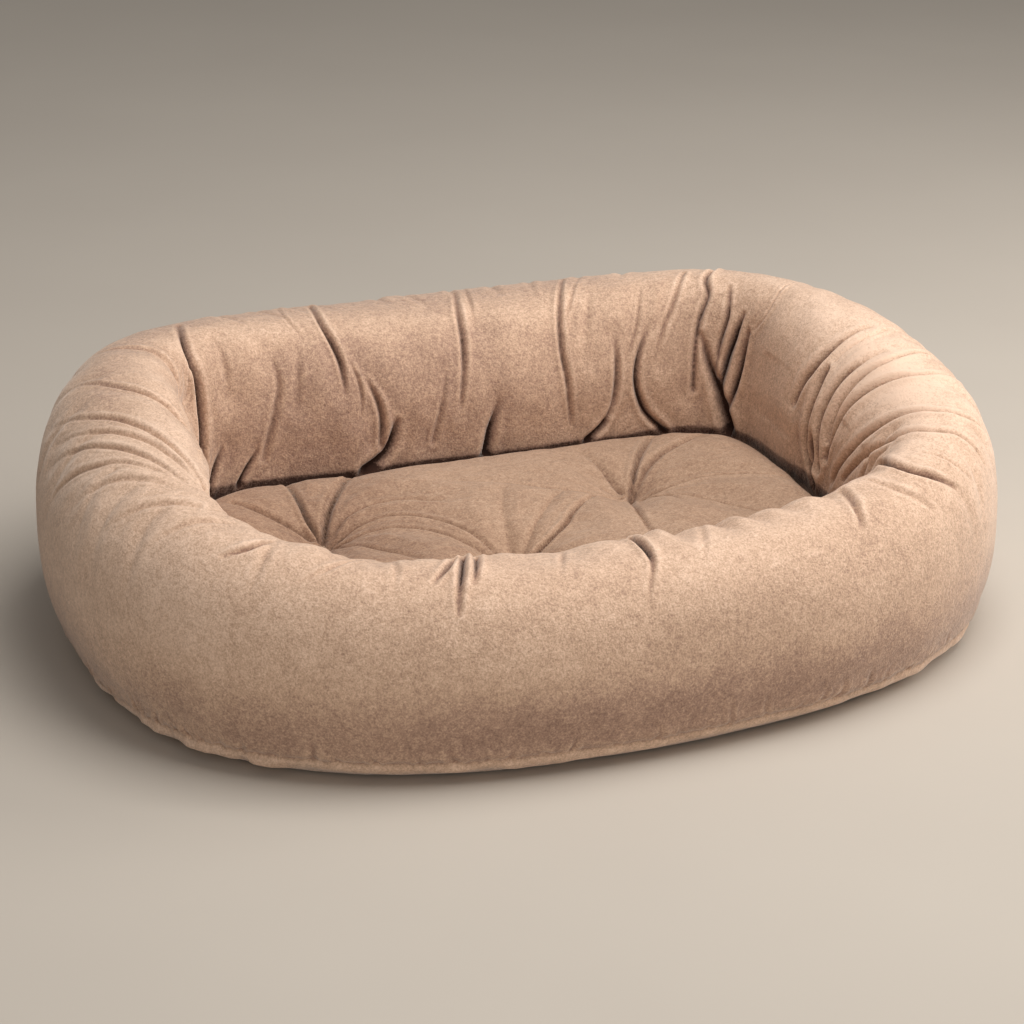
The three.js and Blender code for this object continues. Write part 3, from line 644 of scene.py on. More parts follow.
class Fabric:
    """Moves of a closed grid of fabric along its own normals, built up fold by fold, with masks of painted shadow in
    the slits and painted highlight on the lips.
    """

    def __init__(self, nt, ns, surface):
        self.nt, self.ns, self.surface = nt, ns, surface
        self.t = np.arange(nt) * 360.0 / nt
        self.s = -180.0 + np.arange(ns) * 360.0 / ns
        tt, ss = np.meshgrid(np.radians(self.t), np.radians(self.s), indexing="ij")
        self.points = surface(tt, ss)
        self.normals = self.find_normals(self.points)
        self.move = np.zeros((nt, ns))
        self.near = np.full((nt, ns), 60.0)
        self.painted_crease_shadow = np.zeros((nt, ns))
        self.lit = np.zeros((nt, ns))
        self.shift = np.zeros((nt, ns, 3))

    def find_normals(self, p):
        dt = np.roll(p, -1, 0) - np.roll(p, 1, 0)
        ds = np.roll(p, -1, 1) - np.roll(p, 1, 1)
        return unit(np.cross(dt, ds))

    def add(self, fold, counts=True, shade=None):
        depth, w, lip, step, strengths, points = fold
        line, at = through(points)
        strength = np.interp(at, np.arange(len(strengths)), strengths)
        if len(strengths) != len(points):
            strength = np.interp(at / (len(points) - 1), np.linspace(0, 1, len(strengths)), strengths)
        tr, sr = np.radians(line[:, 0]), np.radians(line[:, 1])
        c = self.surface(tr, sr)
        e = 1e-3
        du = self.surface(tr + e, sr) - self.surface(tr - e, sr)
        dv = self.surface(tr, sr + e) - self.surface(tr, sr - e)
        n = unit(np.cross(du, dv))
        tan = unit(np.gradient(c, axis=0))
        side = np.cross(n, tan)
        reach = 6.5 * w + 6
        mt = reach / max(np.linalg.norm(du, axis=-1).min() / (2 * e) * math.pi / 180, 1.2)
        ms = reach / max(np.linalg.norm(dv, axis=-1).min() / (2 * e) * math.pi / 180, 0.8)
        i0, i1 = math.floor((line[:, 0].min() - mt) * self.nt / 360), math.ceil((line[:, 0].max() + mt) * self.nt / 360)
        j0, j1 = math.floor((line[:, 1].min() - ms + 180) * self.ns / 360), math.ceil((line[:, 1].max() + ms + 180) * self.ns / 360)
        i1, j1 = min(i1, i0 + self.nt - 1), min(j1, j0 + self.ns - 1)
        ii, jj = np.meshgrid(np.arange(i0, i1 + 1) % self.nt, np.arange(j0, j1 + 1) % self.ns, indexing="ij")
        p = self.points[ii, jj].reshape(-1, 3)
        best = np.full(len(p), 1e9)
        which = np.zeros(len(p), int)
        for k in range(0, len(p), 20000):
            q = p[k : k + 20000]
            d2 = (q * q).sum(-1)[:, None] + (c * c).sum(-1)[None] - 2 * q @ c.T
            which[k : k + 20000] = d2.argmin(1)
            best[k : k + 20000] = d2.min(1)
        dist = np.sqrt(np.maximum(best, 0))
        signed = ((p - c[which]) * side[which]).sum(-1)
        signed = np.where(signed < 0, -1, 1) * dist
        g = strength[which]
        m = fold_profile(signed, depth * g, w * (0.6 + 0.4 * g), lip * g, step * g)
        m[dist > reach * 1.6] = 0
        self.move[ii, jj] += m.reshape(ii.shape)
        # The two lips close over the fold, so it narrows to a slit.
        close_up = -np.sign(signed) * 0.34 * w * g * (dist / w) * np.exp(-((dist / w) ** 2)) * min(1.0, depth / 4)
        self.shift[ii, jj] += (close_up[:, None] * side[which]).reshape(*ii.shape, 3)
        # Painted shadow: a near-black line along the fold's slit; painted highlight: a lighter line along its lips.
        dark = np.exp(-((dist / (max(0.78 * w, 1.8))) ** 1.8)) * np.clip(g, 0, 1.4) * (min(1.0, max(0.0, (depth - 2.0) / 6.0)) if shade is None else shade)
        self.painted_crease_shadow[ii, jj] = np.maximum(self.painted_crease_shadow[ii, jj], dark.reshape(ii.shape))
        bright = np.exp(-(((dist - 1.7 * w) / (0.7 * w)) ** 2)) * np.clip(g, 0, 1) * min(1.0, depth / 5)
        self.lit[ii, jj] = np.maximum(self.lit[ii, jj], bright.reshape(ii.shape))
        if counts:
            close = np.where(g > 0.15, dist, dist + 60 * (0.15 - g))
            self.near[ii, jj] = np.minimum(self.near[ii, jj], close.reshape(ii.shape))


NT, NS = ((1560, 320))
ring = Fabric(NT, NS, ring_point)

# Where the bottom seam runs on the outer side, over the floor.
SEAM_Z = 22.0
lower = (ring.s > -85) & (ring.s < -20)
seam_s = np.array([np.interp(SEAM_Z, ring.points[i, lower, 2], ring.s[lower]) for i in range(NT)])
column = np.linalg.norm(np.diff(ring.points, axis=1, append=ring.points[:, :1]), axis=-1)
length_s = np.cumsum(column, axis=1) - column
seam_at = np.array([np.interp(seam_s[i], ring.s, length_s[i]) for i in range(NT)])
from_seam = length_s - seam_at[:, None]
seam_line = ring_point(np.radians(ring.t), np.radians(seam_s))
round_bed = np.concatenate([[0], np.cumsum(np.linalg.norm(np.diff(seam_line, axis=0), axis=-1))])

# Each fold's shade sets how dark the painted shadow in its slit is.
for depth, w, lip, step, strengths, pts in FOLDS:
    shallow = depth < (3.5 if pts[0][0] < 10 or pts[0][0] > 140 else 3)
    more = 1.3 if shallow else 1.7 if depth < 7 else 1.45
    thin = 0.62 if shallow else 0.9 if depth < 7 else 1.2 if pts[0][0] > 10 else 1.05
    ring.add(
        (depth * more, w * thin, lip * (0.8 if shallow else 1.15), step * 1.3, strengths, pts),
        shade=min(1.25, max(0.12, (depth - 1.9) / 3.2)),
    )
for f in random_folds():
    ring.add(f)
for f in seam_puckers(seam_s):
    ring.add(f, counts=False)

tt, ss = np.meshgrid(ring.t, ring.s, indexing="ij")
around = tt / 360.0
along = (ss + 180.0) / 360.0
inner = smooth_step((ss - 95) / 35) + smooth_step((-150 - ss) / 20)
inner = np.clip(inner, 0, 1)
ends = np.exp(-(((tt + 12 + 180) % 360 - 180) / 40.0) ** 2) + np.exp(-((tt - 172) / 42.0) ** 2)
ends = np.clip(ends, 0, 1) * smooth_step((ss - 5) / 40) * smooth_step((175 - ss) / 30)

puffy = 1 - np.exp(-((ring.near / 15.0) ** 2))
move = ring.move
move += (puffy - 0.55) * (3.0 * inner + 2.2 * ends + 0.35)
wide = lattice_noise(around * 17, along * 6, 5, 17, 6)
middle = lattice_noise(around * 46, along * 11, 6, 46, 11)
tall = lattice_noise(around * 74, along * 7, 7, 74, 7)
small = lattice_noise(around * 150, along * 44, 8, 150, 44)
tiny = lattice_noise(around * 330, along * 90, 9, 330, 90)
front_rim = np.exp(-(((tt - 268) / 52.0) ** 2)) * np.exp(-(((ss - 100) / 26.0) ** 2))
lumps = lattice_noise(around * 31, along * 5, 16, 31, 5) + 0.6 * lattice_noise(around * 67, along * 5, 17, 67, 5)
move += 3.6 * lumps * front_rim
for place, amount, width in RIM_PUFFS:
    move += amount * bell(tt - place, width) * bell(ss - 107, 19.0)
move += 1.6 * wide + 0.7 * middle + tall * (0.9 * inner + 0.5 * ends + 0.15) + 0.22 * small + 0.1 * tiny

# The seam itself: a sewn valley with a small lip of cloth under it.
under = smooth_step((from_seam + 2.0) / 3.0)
stitch = 0.5 + 0.5 * np.cos(2 * math.pi * round_bed[:, None] / (round_bed[-1] / round(round_bed[-1] / 6.5)))
seam_zone = np.exp(-((np.abs(from_seam) / 1.7) ** 1.4))
move += -seam_zone * (1.2 + 0.4 * stitch)
scallop = 0.7 + 0.9 * lattice_noise(around * 96, along * 0 + 0.5, 13, 96, 2) + 0.5 * lattice_noise(around * 41, along * 0 + 0.5, 14, 41, 2)
move += 1.5 * np.exp(-(((from_seam - 7.5) / 6.0) ** 2)) + np.clip(2.2 + (2.0 + 2.0 * bell(tt - 226, 34)) * scallop, -1.5, 7) * np.exp(-(((from_seam + 9.5) / 6.5) ** 2))
pucker = 1 - np.clip(1.5 * np.abs(lattice_noise(around * 78, along * 0 + 0.5, 18, 78, 2)), 0, 1)
pucker = (0.35 + 0.65 * bell(turn(np.radians(tt), 216.0), 30.0)) * (0.9 - 1.6 * pucker)
spread_lip = 6.5 * pucker * np.exp(-(((from_seam + 10.5) / 6.5) ** 2))
ripple = lattice_noise(around * 120, along * 0 + 0.5, 12, 120, 2)
move += 0.9 * ripple * np.exp(-((from_seam / 9.0) ** 2))

# The zipper's wall is flat, and the cover opens over the two tapes.
zx, zv, zn = zip_frame(ring.points)
near_zip = (ring.points[..., 1] > 250) & (ring.points[..., 2] < 110)
flat = smooth_step((WINDOW_X + 48 - np.abs(zx)) / 40) * smooth_step((34 - np.abs(zv)) / 18) * near_zip
points = ring.points - (zn * flat)[..., None] * ZIP_N
normals = ring.find_normals(points)
pull = lattice_noise(around * 260, along * 3, 15, 260, 3)
move = move * (1 - flat) + flat * (0.35 + 0.5 * pull * smooth_step((np.abs(zv) - 9) / 10))
move = blur(move, times=1)
# The wall never swells far into the well, nor out of the room that the CAD box leaves.
move = np.clip(move, -13.0, np.where(ss > 148, 2.2, 5.5))
shift = ring.shift * (1 - flat)[..., None]
shift *= np.clip(2.8 / (np.linalg.norm(shift, axis=-1, keepdims=True) + 1e-9), 0, 1)
points = points + shift + normals * move[..., None]
points[..., 0] += spread_lip * (1 - flat) * np.cos(np.radians(tt))
points[..., 1] += spread_lip * (1 - flat) * np.sin(np.radians(tt))
zx, zv, zn = zip_frame(points)
window = (np.abs(zx) < WINDOW_X) & (np.abs(zv) < WINDOW_V) & near_zip
points = points - (np.where(window, 5.2, 0.0))[..., None] * ZIP_N
points[..., 2] = np.maximum(points[..., 2], 2.4)

cover = mesh_object("ring_cover", points / 1000, grid_faces(NT, NS), [plush])
# Painted light and shade on the cover, carried into the plush's colour; only the small random tone at the end is the
# cloth's own. First: darker in fold hollows, lighter on bulges, a painted highlight on the fold lips and a near-black
# painted shadow in the slits.
deep = np.clip(-ring.move / 7.0, -0.35, 1.0)
painted_shade_and_tone = -0.10 * np.clip(deep, 0, 1) + 0.10 * np.clip(-deep, 0, 0.35) / 0.35 + 0.26 * ring.lit * (1 - ring.painted_crease_shadow) - 1.5 * np.clip(ring.painted_crease_shadow, 0, 1.1) ** 1.2
# Painted shade: darker low on the outer side, where it faces the floor.
painted_shade_and_tone += -0.5 * (1 - 0.3 * bell(tt - 200, 22)) * smooth_step((118 - points[..., 2]) / 74) * smooth_step((28 - ss) / 40) * (ss > -100)
# Painted shade on the inner walls, strongest on the rear wall, and darker again low in the well.
inside = np.clip(smooth_step((ss - 112) / 25) + (ss < -150), 0, 1)
painted_shade_and_tone += -(0.15 + 0.22 * bell(tt - 106, 32.0)) * inside * smooth_step((60 - 0.3 * np.abs((tt - 90 + 180) % 360 - 180)) / 30)
painted_shade_and_tone += -0.34 * inside * smooth_step((91 - points[..., 2]) / 9)
# A thin dark painted shadow where the cushion's edge meets the wall.
uneven = 2.0 * lattice_noise(around * 44, along * 0 + 0.5, 24, 44, 2)
painted_shade_and_tone += -0.95 * inside * smooth_step((87.8 + edge_up(np.radians(tt)) + uneven - points[..., 2]) / 3.0) * smooth_step((points[..., 2] - 73) / 9)
# Painted light: lighter ends (less low on the left end), a lighter patch high on the right end's inner side and one low
# on the front-left outer side.
painted_shade_and_tone += (0.2 - 0.1 * smooth_step((100 - ss) / 20) * (np.abs(tt - 172) < 90)) * ends + 0.42 * bell(ss - 116, 34.0) * bell((tt + 14 + 180) % 360 - 180, 24.0) + 0.22 * bell(ss - 20, 45.0) * bell(tt - 203, 24.0)
# Painted shade on the tops of the rear side and the left end.
painted_shade_and_tone += -0.1 * bell(ss - 88, 34.0) * bell(tt - 148, 16.0) - 0.3 * bell(ss - 82, 24.0) * smooth_step((tt - 50) / 20) * smooth_step((182 - tt) / 20)
# A lighter painted band on the lip under the seam, where light comes up from the floor, and a little darker along the
# seam valley.
painted_shade_and_tone += 0.5 * smooth_step((4.0 - from_seam) / 8.0) * smooth_step((from_seam + 40) / 20) - 0.22 * seam_zone
painted_shade_and_tone += 0.05 * lattice_noise(around * 28, along * 9, 21, 28, 9) + 0.06 * lattice_noise(around * 90, along * 20, 22, 90, 20)
add_value(cover, "painted_shade_and_tone", painted_shade_and_tone)
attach(cover, "bolster")
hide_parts("bolster_cover")


def inner_ring(name, inset, material, stands_for, bump):
    """The lining bag and the stuffing inside the cover."""
    nt, ns = 240, 64
    t = np.arange(nt) * 2 * math.pi / nt
    s = -math.pi + np.arange(ns) * 2 * math.pi / ns
    a, b = np.meshgrid(t, s, indexing="ij")
    p = ring_point(a, b, inset)
    n = unit(np.cross(np.roll(p, -1, 0) - np.roll(p, 1, 0), np.roll(p, -1, 1) - np.roll(p, 1, 1)))
    u, v = a / (2 * math.pi), (b + math.pi) / (2 * math.pi)
    m = bump * lattice_noise(u * 40, v * 12, 31, 40, 12) + bump * 0.5 * lattice_noise(u * 90, v * 26, 32, 90, 26)
    p = p + n * m[..., None]
    o = mesh_object(name, p / 1000, grid_faces(nt, ns), [material])
    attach(o, "bolster")
    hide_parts(stands_for)
    return o


inner_ring("ring_lining", 17.0, lining, "bolster_liner", 1.2)
inner_ring("ring_stuffing", 20.5, stuffing, "bolster_fill", 1.6)

# ---------------------------------------------------------------- lift-out cushion
TUFTS = [(-184.0, 36.0), (132.0, 36.0), (-36.0, -78.0)]
TUFTS = [(x - MIDDLE[0], y - MIDDLE[1]) for x, y in TUFTS]
seat_low, seat_high = (np.array(v) * 1000 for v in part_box("cushion_top_panel"))
bottom_low, bottom_high = (np.array(v) * 1000 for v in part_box("cushion_bottom_panel"))
SEAM_CUSHION = (seat_low[2] + bottom_high[2]) / 2
FLOOR_CUSHION = bottom_low[2]
SHOULDER = 93.0 * (seat_high[2] / 96.7)
CENTRE = np.array([WELL_SHIFT[0] - MIDDLE[0], WELL_SHIFT[1] - MIDDLE[1]])

# (depth, half width, strengths, points in mm)
CREASES = [
    (6.5, 4.2, [0.3, 0.8, 1, 0.9], [(-179, 160), (-184, 118), (-188, 74), (-186, 40)]),
    (6.0, 4.0, [0.4, 0.9, 1, 0.9], [(-114, 158), (-144, 112), (-168, 72), (-185, 38)]),
    (3.0, 3.6, [0.2, 1, 0.4], [(-124, 150), (-156, 104), (-178, 60)]),
    (3.6, 4.4, [0.8, 1, 0.9, 0.5], [(-182, 33), (-146, 44), (-106, 34), (-70, -8), (-45, -62)]),
    (2.8, 4.2, [0.7, 1, 0.6], [(-182, 28), (-148, 20), (-112, 2), (-76, -38), (-46, -74)]),
    (2.6, 4.6, [0.6, 0.9, 0.4], [(-180, 36), (-150, 66), (-104, 72), (-62, 48)]),
    (1.3, 5.0, [0.2, 0.8, 1], [(0, 44), (-16, 4), (-28, -36), (-37, -78)]),
    (1.6, 5.0, [0.2, 0.9, 0.9], [(62, 36), (30, 4), (0, -34), (-34, -76)]),
    (4.6, 3.2, [0.2, 1, 0.8], [(84, 14), (48, -16), (18, -50), (-32, -79)]),
    (3.0, 4.6, [0.2, 0.8, 1], [(118, 128), (122, 92), (125, 62), (130, 36)]),
    (6.6, 3.8, [0.4, 0.9, 1, 0.9], [(206, 146), (180, 112), (154, 74), (132, 38)]),
    (3.8, 4.4, [0.2, 0.8, 0.9, 0.8], [(258, 130), (214, 108), (170, 76), (134, 38)]),
    (4.4, 4.2, [0.9, 1, 0.8, 0.7, 0.4], [(132, 34), (160, 26), (204, 22), (246, 10), (284, -4)]),
    (3.0, 4.2, [0.8, 0.9, 0.2], [(132, 32), (150, 4), (156, -34)]),
    (4.2, 4.2, [0.9, 1, 0.7, 0.3], [(129, 32), (110, -20), (96, -80), (92, -150)]),
    (3.4, 4.4, [0.9, 0.9, 0.6, 0.3], [(134, 30), (176, -24), (214, -80), (236, -132)]),
    (1.6, 5.0, [0.9, 0.4, 0.1, 0.0], [(126, 34), (72, 30), (10, 60), (-44, 96)]),
    (4.4, 4.2, [0.9, 1, 0.7, 0.3], [(-38, -82), (-46, -118), (-44, -158), (-52, -194)]),
    (3.8, 4.2, [0.9, 1, 0.6, 0.3], [(-34, -82), (2, -120), (24, -158), (30, -196)]),
    (3.6, 4.4, [0.9, 0.9, 0.5, 0.3], [(-40, -79), (-92, -100), (-140, -136), (-160, -182)]),
    (3.8, 4.4, [0.9, 1, 0.6, 0.4], [(-188, 32), (-220, 12), (-246, 4), (-272, -10)]),
    (4.2, 4.2, [0.9, 1, 0.6, 0.4], [(-186, 30), (-196, -30), (-214, -84), (-222, -136)]),
    (2.8, 4.4, [0.9, 0.8, 0.4], [(-188, 38), (-222, 74), (-248, 112)]),
    (3.0, 4.4, [0.8, 0.9, 0.3], [(-182, 30), (-156, -30), (-132, -76)]),
]


def cushion_outline(t, pull):
    x, y = well_line(t)
    x, y = x - MIDDLE[0] - CENTRE[0], y - MIDDLE[1] - CENTRE[1]
    r = np.hypot(x, y)
    front_left, rear_left, right, rear_right = drawn_back(t, t * 0 + math.pi)
    k = (r - pull + 18.0 * bell(turn(t, 183.0), 19.0) + 0.75 * rear_left + 0.72 * rear_right + 5.0 * bell(turn(t, 8.0), 15.0)) / r
    return x * k, y * k


def cushion_half(upper, nphi, ntop, nside, power, pull):
    """Points (mm) from the middle to the seam, and each one's share of the way out."""
    phi = np.arange(nphi) * 2 * math.pi / nphi
    ox, oy = cushion_outline(phi, pull)
    k = np.linspace(0.004, 1, ntop)
    r = (k**power + 1) ** (-1 / power)
    rho, zz = k * r, r
    q = np.linspace(1, 0, nside + 1)[1:]
    r2 = (q**power + 1) ** (-1 / power)
    rho, zz = np.concatenate([rho, r2]), np.concatenate([zz, q * r2])
    x = CENTRE[0] + ox[:, None] * rho[None]
    y = CENTRE[1] + oy[:, None] * rho[None]
    if upper:
        z = SEAM_CUSHION + (SHOULDER - SEAM_CUSHION) * zz
    else:
        z = SEAM_CUSHION - (SEAM_CUSHION - FLOOR_CUSHION) * zz
    return phi, x, y, np.broadcast_to(z[None], x.shape).copy(), np.broadcast_to(rho[None], x.shape)


def line_distance(x, y, line):
    """Distance to the nearest sample of a line, which sample it is, and the side."""
    c = line
    p = np.stack([x.ravel(), y.ravel()], -1)
    best, which = np.full(len(p), 1e9), np.zeros(len(p), int)
    for k in range(0, len(p), 30000):
        q = p[k : k + 30000]
        d2 = (q * q).sum(-1)[:, None] + (c * c).sum(-1)[None] - 2 * q @ c.T
        which[k : k + 30000] = d2.argmin(1)
        best[k : k + 30000] = d2.min(1)
    tan = np.gradient(c, axis=0)
    tan /= np.linalg.norm(tan, axis=-1, keepdims=True) + 1e-9
    off = p - c[which]
    side = np.sign(off[:, 0] * tan[which, 1] - off[:, 1] * tan[which, 0])
    return np.sqrt(np.maximum(best, 0)).reshape(x.shape), which.reshape(x.shape), side.reshape(x.shape)


def make_cushion_top():
    nphi, ntop, nside = ((640, 150, 26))
    phi, x, y, z, rho = cushion_half(True, nphi, ntop, nside, 6.0, 2.8)
    top = smooth_step((1.0 - rho) / 0.12) * 0.75 + 0.25
    rise = (seat_high[2] - SHOULDER + 3.5) * (1 - rho**2.4)
    near = np.full(x.shape, 80.0)
    folds = np.zeros(x.shape)
    painted_crease_shadow = np.zeros(x.shape)
    for depth, w, strengths, pts in CREASES:
        line, at = through(pts)
        g = np.interp(at / (len(pts) - 1), np.linspace(0, 1, len(strengths)), strengths)
        d, which, side = line_distance(x, y, line)
        gg = g[which]
        folds += fold_profile(d * side, depth * 1.5 * gg, w * 0.72, depth * 0.36 * gg, depth * 0.42 * gg)
        # Painted shadow along each crease line.
        painted_crease_shadow = np.maximum(painted_crease_shadow, np.exp(-((d / (0.5 * w)) ** 1.6)) * gg * min(1.0, depth / 5.0))
        near = np.minimum(near, d + 40 * (1 - gg))
    dimples = np.zeros(x.shape)
    for k, (tx, ty) in enumerate(TUFTS):
        dx, dy = x - tx, y - ty
        d = np.hypot(dx, dy)
        a = np.arctan2(dy, dx)
        dimples -= 19.0 * np.exp(-((d / 44.0) ** 2)) + 9.0 * np.exp(-((d / 15.0) ** 1.3))
        r = np.random.RandomState(60 + k)
        fan = sum(
            np.cos(n * a + r.uniform(0, 6.28)) * r.uniform(0.5, 1.0) for n in (7, 9, 12)
        )
        folds += 0.7 * fan * np.exp(-(((d - 20) / 15.0) ** 2))
        near = np.minimum(near, d)
    rise += dimples
    rise += 8.0 * (1 - np.exp(-((near / 34.0) ** 2))) - 3.0
    ang = phi[:, None] / (2 * math.pi)
    u = (x + 400) / 50.0
    v = (y + 400) / 50.0
    rise += 1.6 * lattice_noise(u, v, 41, 64, 64) + 0.6 * lattice_noise(u * 3.1, v * 3.1, 42, 64, 64) + 0.2 * lattice_noise(u * 9, v * 9, 43, 256, 256)
    z = z + (rise + folds) * top + edge_up(phi)[:, None] * smooth_step((rho - 0.5) / 0.45) * smooth_step((z - 55) / 30)
    # gathers along the side and seam
    side_zone = smooth_step((rho - 0.9) / 0.08) * smooth_step((84 - z) / 30)
    gather = lattice_noise(ang * 128, rho * 0 + 0.5, 44, 128, 2) + 0.6 * lattice_noise(ang * 61, rho * 0 + 0.5, 50, 61, 2)
    pull_in = 1.5 * (gather + 0.4) * side_zone + 2.2 * np.exp(-(((z - SEAM_CUSHION) / 3.0) ** 2)) * (rho > 0.9)
    # The ring's low pockets push the edge in a little, so the line where they meet isn't even.
    edge = smooth_step((rho - 0.8) / 0.15)
    droop = 1.6 * lattice_noise(ang * 40, rho * 0 + 0.5, 51, 40, 2)
    z = z + droop * edge * smooth_step((z - 70) / 20)
    uneven = 1.3 * lattice_noise(ang * 26, rho * 0 + 0.5, 45, 26, 2) + 0.4
    rr = np.hypot(x - CENTRE[0], y - CENTRE[1]) + 1e-6
    k = 1 - (pull_in + np.clip(uneven, 0, 3) * edge) / rr
    k = np.where(rho > 0.5, k, 1)
    x, y = CENTRE[0] + (x - CENTRE[0]) * k, CENTRE[1] + (y - CENTRE[1]) * k
    z = np.maximum(z, SEAM_CUSHION)
    pts = np.stack([x, y, z], -1)
    n = pts.shape[1]
    pole = np.array([[CENTRE[0], CENTRE[1], pts[:, 0, 2].mean()]])
    flat_pts = np.vstack([pts.reshape(-1, 3), pole])
    quads = grid_faces(nphi, n, wrap_v=False)[:, ::-1]
    faces = [tuple(q) for q in quads] + [
        (int(i * n), int(((i + 1) % nphi) * n), len(flat_pts) - 1) for i in range(nphi)
    ]
    faces += [tuple(int(i * n + n - 1) for i in range(nphi - 1, -1, -1))]
    o = mesh_object("cushion_top", flat_pts / 1000, faces, [plush_cushion_painted_shade])
    # Painted shade and highlight of the seat: darker in crease hollows and tuft dimples, near-black painted shadow
    # along the crease lines, lighter on crease ridges, darker towards the left, and a dark painted line round the
    # shoulder where the ring's wall meets it; plus a little random tone.
    tone = -0.2 * np.clip(-folds / 5.0, 0, 1) + 0.12 * np.clip(folds / 1.6, 0, 1) - 0.16 * np.clip(-dimples / 26, 0, 1) - 1.1 * painted_crease_shadow**1.4
    tone = tone - 0.26 * smooth_step((-20 - x) / 120) + 0.06 * lattice_noise(u * 0.9, v * 0.9, 46, 64, 64) - 0.85 * bell(z - (SHOULDER - 9) - edge_up(phi)[:, None], 7.0) * smooth_step((rho - 0.955) / 0.03)
    add_value(o, "painted_shade_and_tone", np.append(tone.ravel(), 0.0))
    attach(o, "cushion")
    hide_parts("cushion_top_panel")
    return o, (x, y, z)


cushion_top, seat = make_cushion_top()


def make_cushion_bottom():
    nphi = 420
    phi, x, y, z, rho = cushion_half(False, nphi, 40, 18, 3.2, 4.6)
    ang = phi[:, None] / (2 * math.pi)
    gather = lattice_noise(ang * 110, rho * 0 + 0.5, 47, 110, 2) + 0.6 * lattice_noise(ang * 54, rho * 0 + 0.5, 48, 54, 2)
    rr = np.hypot(x - CENTRE[0], y - CENTRE[1]) + 1e-6
    pull = 1.2 * np.clip(gather + 0.3, 0, 2) * smooth_step((rho - 0.82) / 0.1)
    pull = pull + 2.2 * np.exp(-(((z - SEAM_CUSHION) / 3.0) ** 2)) * (rho > 0.9)
    k = np.where(rho > 0.5, 1 - pull / rr, 1)
    x, y = CENTRE[0] + (x - CENTRE[0]) * k, CENTRE[1] + (y - CENTRE[1]) * k
    lift = np.zeros(x.shape)
    for tx, ty in TUFTS:
        lift += 4.0 * np.exp(-((np.hypot(x - tx, y - ty) / 26.0) ** 2))
    u, v = (x + 400) / 60.0, (y + 400) / 60.0
    lift += 0.8 * np.clip(lattice_noise(u, v, 49, 64, 64), 0, 1) * smooth_step((0.95 - rho) / 0.1)
    z = np.minimum(z + lift, SEAM_CUSHION - 0.3)
    pts = np.stack([x, y, z], -1)
    n = pts.shape[1]
    flat_pts = np.vstack([pts.reshape(-1, 3), [[CENTRE[0], CENTRE[1], pts[:, 0, 2].mean()]]])
    quads = grid_faces(nphi, n, wrap_v=False)
    faces = [tuple(q) for q in quads] + [
        (int(((i + 1) % nphi) * n), int(i * n), len(flat_pts) - 1) for i in range(nphi)
    ]
    faces += [tuple(int(i * n + n - 1) for i in range(nphi))]
    o = mesh_object("cushion_bottom", flat_pts / 1000, faces, [plush_cushion_painted_shade])
    add_value(o, "painted_shade_and_tone", np.append(np.full(x.shape, -0.03).ravel(), 0.0))
    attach(o, "cushion")
    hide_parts("cushion_bottom_panel")


make_cushion_bottom()


def make_cushion_stuffing():
    nphi = 160
    parts = []
    for upper in (True, False):
        phi, x, y, z, rho = cushion_half(upper, nphi, 26, 8, 4.0, 24.0)
        z = SEAM_CUSHION + (z - SEAM_CUSHION) * (0.42 if upper else 0.5)
        n = x.shape[1]
        pts = np.vstack([np.stack([x, y, z], -1).reshape(-1, 3), [[CENTRE[0], CENTRE[1], z[:, 0].mean()]]])
        quads = grid_faces(nphi, n, wrap_v=False)
        quads = quads[:, ::-1] if upper else quads
        tris = [(int(i * n), int(((i + 1) % nphi) * n), len(pts) - 1) for i in range(nphi)]
        tris = tris if upper else [t[::-1] for t in tris]
        rim = [int(i * n + n - 1) for i in range(nphi)]
        parts.append((pts, [tuple(q) for q in quads] + tris + [tuple(rim[::-1] if upper else rim)]))
    pts, faces = join(parts)
    o = mesh_object("cushion_stuffing", pts / 1000, faces, [stuffing])
    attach(o, "cushion")
    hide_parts("cushion_fill")


make_cushion_stuffing()

# Thread ties: a crossed stitch in each dimple, the thread through the cushion, and a small stitch under it.
def make_tie(k, x, y):
    xx, yy, zz = seat
    d = (xx - x) ** 2 + (yy - y) ** 2
    top = float(zz.ravel()[d.argmin()])
    parts = []
    for turn in range(3):
        a = math.radians(20 + 60 * turn + 17 * k)
        u = np.linspace(-1, 1, 15)
        bow = top + 0.9 + 1.1 * np.sqrt(np.clip(1 - u**2, 0, 1)) - 2.4 * np.abs(u) ** 6 + 0.5 * turn
        path = np.stack([x + 4.2 * u * math.cos(a), y + 4.2 * u * math.sin(a), bow], -1)
        parts.append(sweep(path / 1000, 0.0008, 8))
    u = np.linspace(0, 1, 26)
    knot = np.stack([x + 1.7 * np.cos(u * 4 * math.pi), y + 1.7 * np.sin(u * 4 * math.pi), top + 2.0 + 1.8 * u], -1)
    parts.append(sweep(knot / 1000, 0.0008, 8))
    down = np.stack([np.full(9, x), np.full(9, y), np.linspace(top + 0.5, FLOOR_CUSHION + 3.4, 9)], -1)
    parts.append(sweep(down / 1000, 0.0007, 8, up=(1, 0, 0)))
    low = np.stack([x + 3.6 * np.linspace(-1, 1, 9), np.full(9, y), FLOOR_CUSHION + 2.6 - 0.5 * (1 - np.linspace(-1, 1, 9) ** 2)], -1)
    parts.append(sweep(low / 1000, 0.0008, 8))
    pts, faces = join(parts)
    o = mesh_object(f"tuft_stitch_{k}", pts, faces, [thread])
    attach(o, "cushion")
    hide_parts(f"tuft_tie_{k}")


for k, (x, y) in enumerate(TUFTS, 1):
    make_tie(k, x, y)

